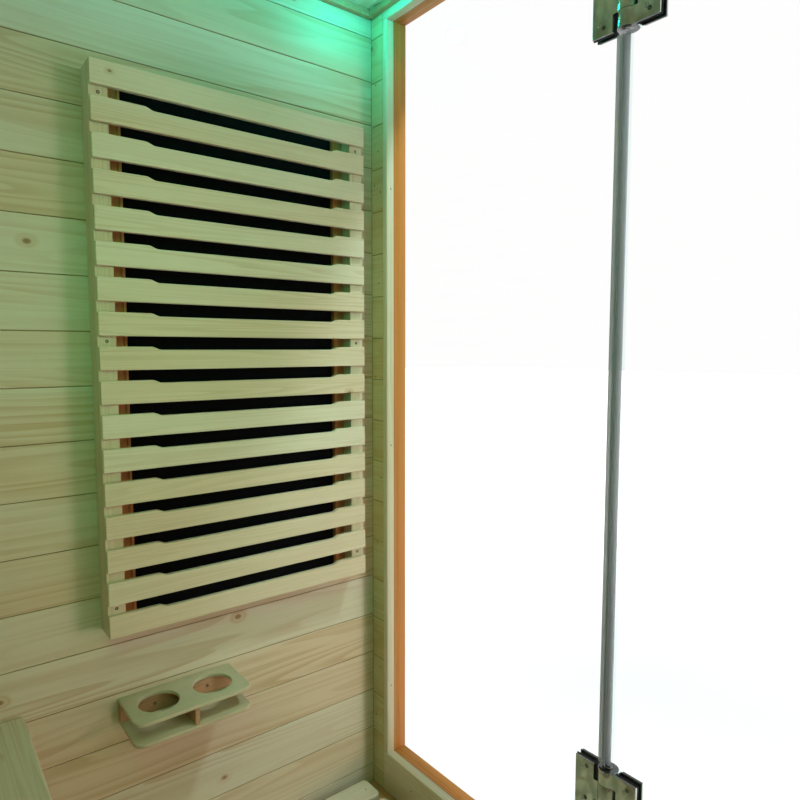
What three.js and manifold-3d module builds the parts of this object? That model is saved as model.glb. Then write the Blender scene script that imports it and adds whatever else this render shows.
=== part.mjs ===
// Infrared sauna cabin: pine shell, glass front with a swing door, slatted
// heater guards, bench, drink holder, ceiling lamps and controls.
// Millimetres, +Z up. Origin on the floor, under the middle of the shell.
// The glass front faces -Y.

import * as THREE from 'three';
import { mergeVertices } from 'three/addons/utils/BufferGeometryUtils.js';
import Module from 'manifold-3d';

const wasm = await Module();
wasm.setup();

// Gap between two pieces that seat on each other
const FIT = 0.3;

// Shell
const CABIN_WIDTH = 1950;
const INNER_DEPTH = 1200;
const INNER_HEIGHT = 1854;
const FLOOR_THICKNESS = 45;
const LINING = 12;
const WALL_PANEL = 33;
const ROOF_THICKNESS = 40;
const ROOF_OVERHANG = 12;

// Tongued boards: V-joints every pitch, counted up from the floor
const BOARD_PITCH = 97.5;
const FIRST_JOINT = 45;
const FRONT_JOINT_DROP = 6;
const JOINT_WIDTH = 3;
const JOINT_DEPTH = 2;

// Front frame
const FRONT_DEPTH = 57.5;
const POST_WIDTH = 43.5;
const FRAME_BOARD = 14.5;
const SILL_HEIGHT = 100;
const HEAD_HEIGHT = 1822;
const GLASS_SETBACK = 31;
const GLASS = 8;
const REBATE = 7;
const REBATE_END_GAP = 0.8;
const ARRIS = 3;

// Door
const HINGE_FROM_WALL = 646;
const HINGE_GAP = 14;
const CLOSING_GAP = 8;
const DOOR_END_GAP = 5;

// Glass hinges
const HINGE_HEIGHTS = { lower: 325, upper: 1630 };
const HINGE_TALL = 90;
const PLATE_WIDTH = 37;
const PLATE_START = 21.5;
const PLATE = 5;
const GASKET = 2;
const GASKET_RIM = 1;
const BARREL_RADIUS = 17.5;
const FIXED_KNUCKLE = 36;
const PIN_RADIUS = 4;
const PIN_HEAD_RADIUS = 6.5;
const PIN_HEAD = 3;
const CUT_OUT_CLEARANCE = 1.7;

// Clear seals on the glass edges
const SEAL_WALL = 1.2;
const SEAL_GRIP = 10;
const SEAL_BULB = 4;
const SEAL_FIN = 5;

// Door handles
const HANDLE_HEIGHT = 1000;
const HANDLE_LENGTH = 320;
const HANDLE_REACH = 48;
const HANDLE_GRIP = 22;
const HANDLE_WIDTH = 24;
const HANDLE_FROM_EDGE = 70;
const STUD_RADIUS = 5;

// Slatted guards
const SLAT_PITCH = 60;
const SLAT_HEIGHT = 44.5;
const SLAT_THICKNESS = 18;
const SLAT_RELIEF = 5.5;
const RELIEF_RUN = 18;
const SLAT_SHORT_END = 69;
const SLAT_LONG_END = 88;
const GUARD_STANDOFF = 60;
const STILE_POST = 31;
const STILE_CHANNEL = 21;
const STILE_LINER = 5;
const LINER_DEPTH = 22;
const CHANNEL_FLOOR = 8;
const SIDE_GUARD_LENGTH = 556;
const SIDE_GUARD_START = 64;
const BACK_GUARD_LENGTH = 760;
const BACK_GUARD_GAP = 90;
const GUARD_SLATS = 17;
const GUARD_BOTTOM = 569;
const HEATER = 12;
const HEATER_MARGIN = 30;

// Bench
const BENCH_HEIGHT = 450;
const BENCH_DEPTH = 450;
const BENCH_SLATS = 5;
const BENCH_SLAT_GAP = 10;
const BENCH_SLAT = 24;
const BENCH_BATTEN = 30;
const BENCH_BATTEN_WIDTH = 40;
const BENCH_OVERHANG = 15;
const BENCH_END_GAP = 1;
const BENCH_FRONT_SLATS = 6;

// Floor grating
const GRATE_SLAT = 65;
const GRATE_GAP = 15;
const GRATE_SLAT_THICKNESS = 18;
const GRATE_BATTEN = 12;
const GRATE_BATTEN_WIDTH = 40;
const GRATE_FROM_FRONT = 38;
const GRATE_WALL_GAP = 10;
const GRATE_CORNER = 8;
const GRATE_BATTEN_INSET = 107.5;

// Drink holder on the right wall
const CUP_FROM_FRONT = 486;
const CUP_LENGTH = 221;
const CUP_DEPTH = 116;
const CUP_TOP = 426;
const CUP_PLATE = 7;
const CUP_SPACE = 32;
const CUP_CORNER = 20;
const CUP_HOLE_RADIUS = 37.5;
const CUP_HOLE_SPACING = 104;
const CUP_HOLE_FROM_WALL = 56;
const CUP_BACK_RAIL = 18;
const CUP_DIVIDER = 8;
const CUP_DIVIDER_SETBACK = 2;

// Ceiling lamps
const LAMP_FROM_SIDE = 120;
const LAMP_FROM_FRONT = 100;
const LAMP_RADIUS = 40;
const LENS_RADIUS = 30;
const LAMP_HEIGHT = 9;
const LENS_DROP = 4;

// Control panel on the left wall
const PANEL_FROM_GUARD = 25;
const PANEL_HEIGHT = 1150;
const PANEL_WIDE = 90;
const PANEL_TALL = 150;
const PANEL_THICK = 14;
const PANEL_CORNER = 8;
const DISPLAY_WIDE = 62;
const DISPLAY_TALL = 40;
const DISPLAY_RECESS = 1.5;
const DISPLAY_RISE = 34;
const BUTTON_RADIUS = 8;
const BUTTON_SPACING = 26;
const BUTTON_DROP = 30;
const BUTTON_POCKET = 9;
const BUTTON_TRAVEL = 1.5;
const BUTTON_PROUD = 2.5;

// Roof vent with a sliding cover
const VENT_RADIUS = 40;
const VENT_BOARD = 120;
const VENT_BOARD_THICKNESS = 10;
const VENT_TRAVEL = 115;
const VENT_RAIL = 12;
const VENT_LIP = 6;
const VENT_FROM_BACK = 420;
const KNOB_RADIUS = 9;
const KNOB_LENGTH = 16;

// Power box on the roof
const POWER_BOX = { wide: 320, deep: 220, tall: 70 };
const POWER_BOX_FROM_BACK = 60;
const POWER_BOX_CORNER = 12;
const INLET_RADIUS = 14;
const INLET_LENGTH = 22;

// Derived places
const innerX = CABIN_WIDTH / 2 - WALL_PANEL - FIT - LINING;
const panelX = CABIN_WIDTH / 2 - WALL_PANEL;
const shellDepth = FRONT_DEPTH + INNER_DEPTH + LINING + FIT + WALL_PANEL;
const outerFrontY = -shellDepth / 2;
const outerBackY = shellDepth / 2;
const frontY = outerFrontY + FRONT_DEPTH;
const backY = frontY + INNER_DEPTH;
const floorZ = FLOOR_THICKNESS;
const ceilingZ = floorZ + INNER_HEIGHT;
const wallTopZ = ceilingZ + LINING;
const roofZ = wallTopZ + FIT;
const glassY = frontY - GLASS_SETBACK;
const sillZ = floorZ + SILL_HEIGHT;
const headZ = floorZ + HEAD_HEIGHT;
const postInnerX = innerX - FIT - POST_WIDTH;
const openingX = postInnerX - FIT - FRAME_BOARD;
const hingeX = innerX - HINGE_FROM_WALL;
const fixedEdgeX = hingeX + HINGE_GAP / 2;
const doorHingeEdgeX = hingeX - HINGE_GAP / 2;
const doorFreeEdgeX = -fixedEdgeX + CLOSING_GAP;
const cutOutReach = HINGE_TALL / 2 + Math.max(FIT + PIN_HEAD, GASKET_RIM) + CUT_OUT_CLEARANCE;
const sideGuardEndY = frontY + SIDE_GUARD_START + SIDE_GUARD_LENGTH;

// Finishes
const finish = (color, roughness, metalness = 0, extra = {}) =>
  new THREE.MeshStandardMaterial({ color, roughness, metalness, ...extra });
const pine = finish('#dcc596', 0.62);
const palePine = finish('#e3d2a4', 0.6);
const knottyPine = finish('#d3b583', 0.65);
const clearGlass = finish('#d9ece8', 0.05, 0, { transparent: true, opacity: 0.3 });
const clearSeal = finish('#b9c6cc', 0.25, 0, { transparent: true, opacity: 0.6 });
const polished = finish('#c9ccc8', 0.18, 1);
const rubber = finish('#17181a', 0.8);
const heaterBlack = finish('#0b0b0d', 0.75);
const blackPlastic = finish('#1b1c1f', 0.45);
const lampLens = finish('#8ff5cf', 0.3, 0, { emissive: '#19e38f' });
const greyPlastic = finish('#c8cac9', 0.5);

const cabin = new THREE.Group();

function piece(name, geometry, material) {
  const mesh = new THREE.Mesh(geometry, material);
  mesh.name = name;
  cabin.add(mesh);
  return mesh;
}

// Box between two values on each axis
function block([x0, x1], [y0, y1], [z0, z1]) {
  const box = new THREE.BoxGeometry(x1 - x0, y1 - y0, z1 - z0);
  return box.translate((x0 + x1) / 2, (y0 + y1) / 2, (z0 + z1) / 2);
}

function outline(points) {
  return new THREE.Shape(points.map(([u, v]) => new THREE.Vector2(u, v)));
}

function extrude(shape, length, curveSegments = 6) {
  return new THREE.ExtrudeGeometry(shape, {
    depth: length, bevelEnabled: false, steps: 1, curveSegments,
  });
}

// Shape drawn in (x, y), swept up from z0 to z1
function sweepZ(shape, z0, z1, segments) {
  return extrude(shape, z1 - z0, segments).translate(0, 0, z0);
}

const turnToX = new THREE.Matrix4().set(0, 0, 1, 0, 1, 0, 0, 0, 0, 1, 0, 0, 0, 0, 0, 1);
const turnToY = new THREE.Matrix4().set(0, 1, 0, 0, 0, 0, 1, 0, 1, 0, 0, 0, 0, 0, 0, 1);

// Shape drawn in (y, z), swept from x0 to x1
function sweepX(shape, x0, x1, segments) {
  return extrude(shape, x1 - x0, segments).applyMatrix4(turnToX).translate(x0, 0, 0);
}

// Shape drawn in (z, x), swept from y0 to y1
function sweepY(shape, y0, y1, segments) {
  return extrude(shape, y1 - y0, segments).applyMatrix4(turnToY).translate(0, y0, 0);
}

// Profile of (radius, height) turned about Z
function turned(profile, sides = 20) {
  const points = profile.map(([r, h]) => new THREE.Vector2(r, h));
  return new THREE.LatheGeometry(points, sides).rotateX(Math.PI / 2);
}

function rounded(u0, u1, v0, v1, radius) {
  const shape = new THREE.Shape();
  shape.moveTo(u0 + radius, v0);
  shape.lineTo(u1 - radius, v0);
  shape.absarc(u1 - radius, v0 + radius, radius, -Math.PI / 2, 0);
  shape.lineTo(u1, v1 - radius);
  shape.absarc(u1 - radius, v1 - radius, radius, 0, Math.PI / 2);
  shape.lineTo(u0 + radius, v1);
  shape.absarc(u0 + radius, v1 - radius, radius, Math.PI / 2, Math.PI);
  shape.lineTo(u0, v0 + radius);
  shape.absarc(u0 + radius, v0 + radius, radius, Math.PI, 1.5 * Math.PI);
  return shape;
}

function circle(u, v, radius) {
  return new THREE.Path().absarc(u, v, radius, 0, 2 * Math.PI);
}

function solid(geometry) {
  const bare = geometry.clone();
  bare.deleteAttribute('normal');
  bare.deleteAttribute('uv');
  const merged = mergeVertices(bare, 1e-4);
  return new wasm.Manifold(new wasm.Mesh({
    numProp: 3,
    vertProperties: new Float32Array(merged.attributes.position.array),
    triVerts: new Uint32Array(merged.index.array),
  }));
}

function surface(manifold) {
  const mesh = manifold.getMesh();
  const geometry = new THREE.BufferGeometry();
  geometry.setAttribute('position', new THREE.BufferAttribute(mesh.vertProperties, 3));
  geometry.setIndex(new THREE.BufferAttribute(mesh.triVerts, 1));
  geometry.computeVertexNormals();
  return geometry;
}

function join(...geometries) {
  return surface(geometries.map(solid).reduce((whole, next) => whole.add(next)));
}

function cut(geometry, ...tools) {
  return surface(tools.map(solid).reduce((whole, tool) => whole.subtract(tool), solid(geometry)));
}

// Heights of the V-joints between a lower and an upper edge
function jointHeights(low, high, first) {
  const heights = [];
  for (let z = first; z < high - JOINT_WIDTH; z += BOARD_PITCH) {
    if (z > low + JOINT_WIDTH) heights.push(z);
  }
  return heights;
}

// Outline of tongued boards: face at u = 0 with V-joints, back at u = thickness
function boardOutline(thickness, low, high, joints) {
  const points = [[thickness, low], [thickness, high], [0, high]];
  for (const z of [...joints].reverse()) {
    points.push([0, z + JOINT_WIDTH / 2], [JOINT_DEPTH, z], [0, z - JOINT_WIDTH / 2]);
  }
  points.push([0, low]);
  return points;
}

// Floor panel
piece('floor_panel', block(
  [-CABIN_WIDTH / 2, CABIN_WIDTH / 2], [outerFrontY, outerBackY], [0, FLOOR_THICKNESS],
), knottyPine);

// Side walls and back wall: grooved lining inside, insulated panel outside
const wallLow = floorZ + FIT;
const wallJoints = jointHeights(wallLow, wallTopZ, floorZ + FIRST_JOINT);
const liningOutline = boardOutline(LINING, wallLow, wallTopZ, wallJoints);
const panelOutline = boardOutline(WALL_PANEL, wallLow, wallTopZ, wallJoints);

// (u, z) profile laid so that u grows from the face toward the given side
function sideBoards(profile, faceX, outward, y0, y1) {
  const points = profile.map(([u, z]) => [z, faceX + outward * u]);
  return sweepY(outline(points), y0, y1);
}

function backBoards(profile, faceY, outward, x0, x1) {
  const points = profile.map(([u, z]) => [faceY + outward * u, z]);
  return sweepX(outline(points), x0, x1);
}

for (const [side, sign] of [['right', 1], ['left', -1]]) {
  piece(`${side}_wall_lining`, sideBoards(
    liningOutline, sign * innerX, sign, outerFrontY, backY + LINING,
  ), pine);
  piece(`${side}_wall_panel`, sideBoards(
    panelOutline, sign * CABIN_WIDTH / 2, -sign, outerFrontY, outerBackY,
  ), knottyPine);
}
piece('back_wall_lining', backBoards(
  liningOutline, backY, 1, -innerX + FIT, innerX - FIT,
), pine);
piece('back_wall_panel', backBoards(
  panelOutline, outerBackY, -1, -panelX + FIT, panelX - FIT,
), knottyPine);

// Front frame: grooved posts, rebated jamb boards, sill and head
const frontJoints = jointHeights(wallLow, wallTopZ, floorZ + FIRST_JOINT - FRONT_JOINT_DROP);
const postOutline = boardOutline(FRONT_DEPTH, wallLow, wallTopZ, frontJoints);
for (const [side, x0] of [['right', postInnerX], ['left', -postInnerX - POST_WIDTH]]) {
  piece(`front_${side}_post`, backBoards(
    postOutline, frontY, -1, x0, x0 + POST_WIDTH,
  ), pine);
}

// Timber round the glass: u runs outward from the inner face, v from the opening
function rebatedTimber(thickness) {
  const near = GLASS_SETBACK - GLASS / 2 - FIT;
  const far = GLASS_SETBACK + GLASS / 2 + FIT;
  const round = ARRIS * (1 - Math.SQRT1_2);
  return [
    [0, thickness], [0, ARRIS], [round, round], [ARRIS, 0],
    [near, 0], [near, REBATE], [far, REBATE], [far, 0],
    [FRONT_DEPTH - ARRIS, 0], [FRONT_DEPTH, ARRIS], [FRONT_DEPTH, thickness],
  ];
}

const railX = postInnerX - FIT;
piece('front_sill', sweepX(outline(
  rebatedTimber(sillZ - wallLow).map(([u, v]) => [frontY - u, sillZ - v]),
), -railX, railX), palePine);
piece('front_head', sweepX(outline(
  rebatedTimber(wallTopZ - headZ).map(([u, v]) => [frontY - u, headZ + v]),
), -railX, railX), palePine);
for (const [side, sign] of [['right', 1], ['left', -1]]) {
  piece(`${side}_jamb_board`, sweepZ(outline(
    rebatedTimber(FRAME_BOARD).map(([u, v]) => [sign * (openingX + v), frontY - u]),
  ), sillZ + FIT, headZ - FIT), palePine);
}

// Glass with a cut-out at each hinge on the edge at edgeX
function hingedGlass(farX, edgeX, low, high, holes = []) {
  const inward = Math.sign(farX - edgeX);
  const depthX = hingeX + inward * (PLATE_START + FIT);
  const points = [[low, farX], [low, edgeX]];
  for (const height of [HINGE_HEIGHTS.lower, HINGE_HEIGHTS.upper]) {
    const z = floorZ + height;
    const [under, over] = [z - cutOutReach, z + cutOutReach];
    points.push([under, edgeX], [under, depthX], [over, depthX], [over, edgeX]);
  }
  points.push([high, edgeX], [high, farX]);
  const shape = outline(points);
  shape.holes.push(...holes);
  return sweepY(shape, glassY - GLASS / 2, glassY + GLASS / 2);
}

const rebateEnd = REBATE - REBATE_END_GAP;
const fixedLow = sillZ - rebateEnd;
const fixedHigh = headZ + rebateEnd;
piece('right_fixed_glass', hingedGlass(
  openingX + rebateEnd, fixedEdgeX, fixedLow, fixedHigh,
), clearGlass);
piece('left_fixed_glass', block(
  [-openingX - rebateEnd, -fixedEdgeX], [glassY - GLASS / 2, glassY + GLASS / 2],
  [fixedLow, fixedHigh],
), clearGlass);

const handleX = doorFreeEdgeX + HANDLE_FROM_EDGE;
const handleZ = floorZ + HANDLE_HEIGHT;
const studZ = HANDLE_LENGTH / 2 - HANDLE_GRIP / 2;
const studHoles = [-studZ, studZ].map((dz) => circle(handleZ + dz, handleX, STUD_RADIUS + FIT));
piece('door_glass', hingedGlass(
  doorFreeEdgeX, doorHingeEdgeX, sillZ + DOOR_END_GAP, headZ - DOOR_END_GAP, studHoles,
), clearGlass);

// Clear seals: a U clipped over the glass edge, with a bulb or a fin in the gap
const clipHalf = GLASS / 2 + FIT;

const clipBase = -FIT - SEAL_WALL;

function sealClip(nose) {
  return [
    [SEAL_GRIP, clipHalf], [SEAL_GRIP, clipHalf + SEAL_WALL], [clipBase, clipHalf + SEAL_WALL],
    ...nose,
    [clipBase, -clipHalf - SEAL_WALL], [SEAL_GRIP, -clipHalf - SEAL_WALL], [SEAL_GRIP, -clipHalf],
    [-FIT, -clipHalf], [-FIT, clipHalf],
  ];
}

const bulbNose = [[clipBase, SEAL_BULB * Math.SQRT1_2]];
const bulbSteps = 8;
for (let step = 0; step <= bulbSteps; step += 1) {
  const angle = (0.25 + 1.5 * (step / bulbSteps)) * Math.PI;
  bulbNose.push([-HINGE_GAP / 2 + SEAL_BULB * Math.cos(angle), SEAL_BULB * Math.sin(angle)]);
}
bulbNose.push([clipBase, -SEAL_BULB * Math.SQRT1_2]);
const finNose = [
  [clipBase, SEAL_WALL], [clipBase - SEAL_FIN, SEAL_WALL / 2],
  [clipBase - SEAL_FIN, -SEAL_WALL / 2], [clipBase, -SEAL_WALL],
];
const hingeClear = cutOutReach + FIT;
piece('hinge_side_seal', sweepZ(outline(
  sealClip(bulbNose).map(([u, v]) => [fixedEdgeX + u, glassY + v]),
), floorZ + HINGE_HEIGHTS.lower + hingeClear, floorZ + HINGE_HEIGHTS.upper - hingeClear), clearSeal);
piece('closing_side_seal', sweepZ(outline(
  sealClip(finNose).map(([u, v]) => [doorFreeEdgeX + u, glassY + v]),
), sillZ + DOOR_END_GAP, headZ - DOOR_END_GAP), clearSeal);

// Glass hinges: clamped plates, gaskets and a knuckle on each side, one pin
const plateNear = GLASS / 2 + FIT + GASKET + FIT;
const plateFar = plateNear + PLATE;
const halfTall = HINGE_TALL / 2;
const halfKnuckle = FIXED_KNUCKLE / 2;

function ordered(a, b) {
  return a < b ? [a, b] : [b, a];
}

function hingePlate(side, inward, z) {
  return block(
    ordered(hingeX + side * PLATE_START, hingeX + side * (PLATE_START + PLATE_WIDTH)),
    ordered(glassY + inward * plateNear, glassY + inward * plateFar),
    [z - halfTall, z + halfTall],
  );
}

// Knuckle round the pin with the neck that ties it to the inner plate
function knuckle(side, z0, z1) {
  const barrel = turned([[0, z0], [BARREL_RADIUS, z0], [BARREL_RADIUS, z1], [0, z1]]);
  const neck = block(
    ordered(0, side * (PLATE_START + PLATE / 2)), [plateNear, plateFar], [z0, z1],
  );
  return join(barrel, neck).translate(hingeX, glassY, 0);
}

function gasket(side, z) {
  const near = PLATE_START - GASKET_RIM;
  const far = PLATE_START + PLATE_WIDTH + GASKET_RIM;
  const web = PLATE_START;
  const outside = GLASS / 2 + FIT + GASKET;
  const inside = GLASS / 2 + FIT;
  const points = [
    [near, outside], [far, outside], [far, inside], [web, inside],
    [web, -inside], [far, -inside], [far, -outside], [near, -outside],
  ].map(([u, v]) => [hingeX + side * u, glassY + v]);
  const reach = halfTall + GASKET_RIM;
  return sweepZ(outline(points), z - reach, z + reach);
}

for (const [level, height] of Object.entries(HINGE_HEIGHTS)) {
  const z = floorZ + height;
  const bore = turned([
    [0, z - HINGE_TALL], [PIN_RADIUS + FIT, z - HINGE_TALL],
    [PIN_RADIUS + FIT, z + HINGE_TALL], [0, z + HINGE_TALL],
  ]).translate(hingeX, glassY, 0);
  piece(`${level}_hinge_fixed_inner_plate`, cut(
    join(hingePlate(1, 1, z), knuckle(1, z - halfKnuckle, z + halfKnuckle)), bore,
  ), polished);
  piece(`${level}_hinge_fixed_outer_plate`, hingePlate(1, -1, z), polished);
  piece(`${level}_hinge_fixed_gasket`, gasket(1, z), rubber);
  piece(`${level}_hinge_door_inner_plate`, cut(join(
    hingePlate(-1, 1, z),
    knuckle(-1, z - halfTall, z - halfKnuckle - FIT),
    knuckle(-1, z + halfKnuckle + FIT, z + halfTall),
  ), bore), polished);
  piece(`${level}_hinge_door_outer_plate`, hingePlate(-1, -1, z), polished);
  piece(`${level}_hinge_door_gasket`, gasket(-1, z), rubber);
  const headLow = halfTall + FIT;
  piece(`${level}_hinge_pin`, turned([
    [0, -halfTall], [PIN_RADIUS, -halfTall], [PIN_RADIUS, headLow],
    [PIN_HEAD_RADIUS, headLow], [PIN_HEAD_RADIUS, headLow + PIN_HEAD], [0, headLow + PIN_HEAD],
  ]).translate(hingeX, glassY, z), polished);
}

// Door handles: one arched pull on each face, joined by studs through the glass
function pull(inward) {
  const half = HANDLE_LENGTH / 2;
  const foot = GLASS / 2 + FIT;
  const shape = new THREE.Shape();
  const bend = HANDLE_REACH - HANDLE_GRIP / 3;
  const place = (out, z) => [glassY + inward * (foot + out), handleZ + z];
  shape.moveTo(...place(0, -half));
  shape.quadraticCurveTo(...place(bend, -half), ...place(HANDLE_REACH, -half + HANDLE_REACH));
  shape.lineTo(...place(HANDLE_REACH, half - HANDLE_REACH));
  shape.quadraticCurveTo(...place(bend, half), ...place(0, half));
  shape.lineTo(...place(0, half - HANDLE_GRIP));
  const inner = HANDLE_REACH - HANDLE_GRIP;
  shape.quadraticCurveTo(
    ...place(inner, half - HANDLE_GRIP), ...place(inner, half - HANDLE_REACH - HANDLE_GRIP),
  );
  shape.lineTo(...place(inner, -half + HANDLE_REACH + HANDLE_GRIP));
  shape.quadraticCurveTo(
    ...place(inner, -half + HANDLE_GRIP), ...place(0, -half + HANDLE_GRIP),
  );
  return sweepX(shape, handleX - HANDLE_WIDTH / 2, handleX + HANDLE_WIDTH / 2, 5);
}

function handleStud(dz) {
  const low = -GLASS / 2;
  const high = GLASS / 2 + 2 * FIT;
  return turned([[0, low], [STUD_RADIUS, low], [STUD_RADIUS, high], [0, high]], 12)
    .rotateX(-Math.PI / 2).translate(handleX, glassY, handleZ + dz);
}

piece('inside_handle', join(pull(1), handleStud(-studZ), handleStud(studZ)), palePine);
piece('outside_handle', pull(-1), palePine);

// Slatted guard: u along the wall, v out of it, heights from its own bottom.
// ends gives the length of full height at each end of a slat that is relieved between them.
function slatOutline(length, z, ends) {
  const low = z + SLAT_HEIGHT - SLAT_RELIEF;
  const high = z + SLAT_HEIGHT;
  const shape = new THREE.Shape();
  shape.moveTo(0, z);
  shape.lineTo(length, z);
  shape.lineTo(length, high);
  if (ends) {
    const [near, far] = [ends[0], length - ends[1]];
    const middle = RELIEF_RUN / 2;
    shape.lineTo(far, high);
    shape.bezierCurveTo(far - middle, high, far - middle, low, far - RELIEF_RUN, low);
    shape.lineTo(near + RELIEF_RUN, low);
    shape.bezierCurveTo(near + middle, low, near + middle, high, near, high);
  }
  shape.lineTo(0, high);
  return shape;
}

// Stile in plan: post under the slat ends, wiring channel, thin heater liner
function stileOutline(start, direction) {
  const channel = STILE_POST + STILE_CHANNEL;
  const back = GUARD_STANDOFF - SLAT_THICKNESS;
  return [
    [0, 0], [channel + STILE_LINER, 0], [channel + STILE_LINER, LINER_DEPTH],
    [channel, LINER_DEPTH], [channel, CHANNEL_FLOOR], [STILE_POST, CHANNEL_FLOOR],
    [STILE_POST, back + FIT], [0, back + FIT],
  ].map(([u, v]) => [start + direction * u, v]);
}

function slattedGuard(length, slats, ends, stileLow, stileHigh, middlePosts = []) {
  const parts = [
    sweepZ(outline(stileOutline(0, 1)), stileLow, stileHigh),
    sweepZ(outline(stileOutline(length, -1)), stileLow, stileHigh),
  ];
  for (const u of middlePosts) {
    parts.push(block(
      [u - STILE_POST / 2, u + STILE_POST / 2],
      [0, GUARD_STANDOFF - SLAT_THICKNESS + FIT], [stileLow, stileHigh],
    ));
  }
  for (let slat = 0; slat < slats; slat += 1) {
    const shape = slatOutline(length, slat * SLAT_PITCH, slat < slats - 1 ? ends : null);
    parts.push(
      extrude(shape, SLAT_THICKNESS, 4).rotateX(Math.PI / 2).translate(0, GUARD_STANDOFF, 0),
    );
  }
  return join(...parts).translate(-length / 2, 0, 0);
}

function heaterPanel(length, tall) {
  const half = length / 2 - STILE_POST - STILE_CHANNEL - STILE_LINER - FIT;
  return block([-half, half], [0, HEATER], [HEATER_MARGIN, tall - HEATER_MARGIN]);
}

const guardTall = (GUARD_SLATS - 1) * SLAT_PITCH + SLAT_HEIGHT;
const backShift = (BACK_GUARD_LENGTH + BACK_GUARD_GAP) / 2;
const sideGuardY = sideGuardEndY - SIDE_GUARD_LENGTH / 2;
const evenEnds = [SLAT_SHORT_END, SLAT_SHORT_END];
const guardPlaces = [
  ['right', SIDE_GUARD_LENGTH, innerX - FIT, sideGuardY, Math.PI / 2, [SLAT_SHORT_END, SLAT_LONG_END]],
  ['left', SIDE_GUARD_LENGTH, -innerX + FIT, sideGuardY, -Math.PI / 2, [SLAT_LONG_END, SLAT_SHORT_END]],
  ['back_right', BACK_GUARD_LENGTH, backShift, backY - FIT, Math.PI, evenEnds],
  ['back_left', BACK_GUARD_LENGTH, -backShift, backY - FIT, Math.PI, evenEnds],
];
for (const [side, length, x, y, turn, ends] of guardPlaces) {
  const guard = piece(
    `${side}_heater_guard`, slattedGuard(length, GUARD_SLATS, ends, 0, guardTall), palePine,
  );
  const heater = piece(`${side}_heater_panel`, heaterPanel(length, guardTall), heaterBlack);
  for (const mesh of [guard, heater]) {
    mesh.position.set(x, y, floorZ + GUARD_BOTTOM);
    mesh.rotation.z = turn;
  }
}

// Bench: slatted seat on a slatted front and a wall ledger, calf heater behind
const benchTopZ = floorZ + BENCH_HEIGHT;
const benchUnderZ = benchTopZ - BENCH_SLAT - BENCH_BATTEN;
const benchHalf = innerX - BENCH_END_GAP;
const benchFrontY = backY - FIT - BENCH_DEPTH;
const benchSlatWidth = (BENCH_DEPTH - (BENCH_SLATS - 1) * BENCH_SLAT_GAP) / BENCH_SLATS;
const benchParts = [];
for (let slat = 0; slat < BENCH_SLATS; slat += 1) {
  const y = benchFrontY + slat * (benchSlatWidth + BENCH_SLAT_GAP);
  benchParts.push(block(
    [-benchHalf, benchHalf], [y, y + benchSlatWidth], [benchTopZ - BENCH_SLAT, benchTopZ],
  ));
}
for (const place of [-1, 0, 1]) {
  const x = place * (benchHalf - BENCH_BATTEN_WIDTH / 2);
  benchParts.push(block(
    [x - BENCH_BATTEN_WIDTH / 2, x + BENCH_BATTEN_WIDTH / 2],
    [benchFrontY + BENCH_OVERHANG, backY - FIT],
    [benchUnderZ, benchTopZ - BENCH_SLAT + FIT],
  ));
}
piece('bench_seat', join(...benchParts), palePine);

const benchGuardLength = 2 * benchHalf;
const benchGuardY = benchFrontY + BENCH_OVERHANG + GUARD_STANDOFF;
const benchGuardTall = (BENCH_FRONT_SLATS - 1) * SLAT_PITCH + SLAT_HEIGHT;
const stileRise = benchUnderZ - FIT - wallLow;
const benchSlatStart = (stileRise - benchGuardTall) / 2;
const benchFront = piece('bench_front', slattedGuard(
  benchGuardLength, BENCH_FRONT_SLATS, evenEnds, -benchSlatStart, stileRise - benchSlatStart,
  [benchGuardLength / 2],
), palePine);
benchFront.position.set(0, benchGuardY, wallLow + benchSlatStart);
benchFront.rotation.z = Math.PI;
piece('calf_heater_panel', block(
  [-benchHalf + STILE_POST, benchHalf - STILE_POST],
  [benchGuardY + FIT, benchGuardY + FIT + HEATER],
  [wallLow + benchSlatStart, wallLow + benchSlatStart + benchGuardTall],
), heaterBlack);
piece('bench_ledger', block(
  [-benchHalf, benchHalf], [backY - FIT - BENCH_BATTEN_WIDTH, backY - FIT],
  [benchUnderZ - FIT - BENCH_BATTEN, benchUnderZ - FIT],
), pine);

// Floor grating: slats front to back on cross battens
const grateBack = benchFrontY + BENCH_OVERHANG - GRATE_WALL_GAP;
const grateFront = frontY + GRATE_FROM_FRONT;
const gratePitch = GRATE_SLAT + GRATE_GAP;
const grateRoom = 2 * (innerX - GRATE_WALL_GAP);
const grateSlats = Math.floor((grateRoom + GRATE_GAP) / gratePitch);
const grateHalf = (grateSlats * gratePitch - GRATE_GAP) / 2;
const grateLow = floorZ + FIT;
const grateMid = grateLow + GRATE_BATTEN;
const grateParts = [];
for (let slat = 0; slat < grateSlats; slat += 1) {
  const x = -grateHalf + slat * gratePitch;
  grateParts.push(sweepZ(
    rounded(x, x + GRATE_SLAT, grateFront, grateBack, GRATE_CORNER),
    grateMid - FIT, grateMid + GRATE_SLAT_THICKNESS, 1,
  ));
}
for (const y of [grateFront + GRATE_BATTEN_INSET, grateBack - GRATE_BATTEN_INSET]) {
  grateParts.push(block(
    [-grateHalf, grateHalf], [y - GRATE_BATTEN_WIDTH / 2, y + GRATE_BATTEN_WIDTH / 2],
    [grateLow, grateMid],
  ));
}
piece('floor_grating', join(...grateParts), palePine);

// Drink holder: bored top plate, plain bottom plate, T-shaped spacer between
const cupY = frontY + CUP_FROM_FRONT;
const cupBackX = innerX - FIT;
const cupFrontX = cupBackX - CUP_DEPTH;

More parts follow.
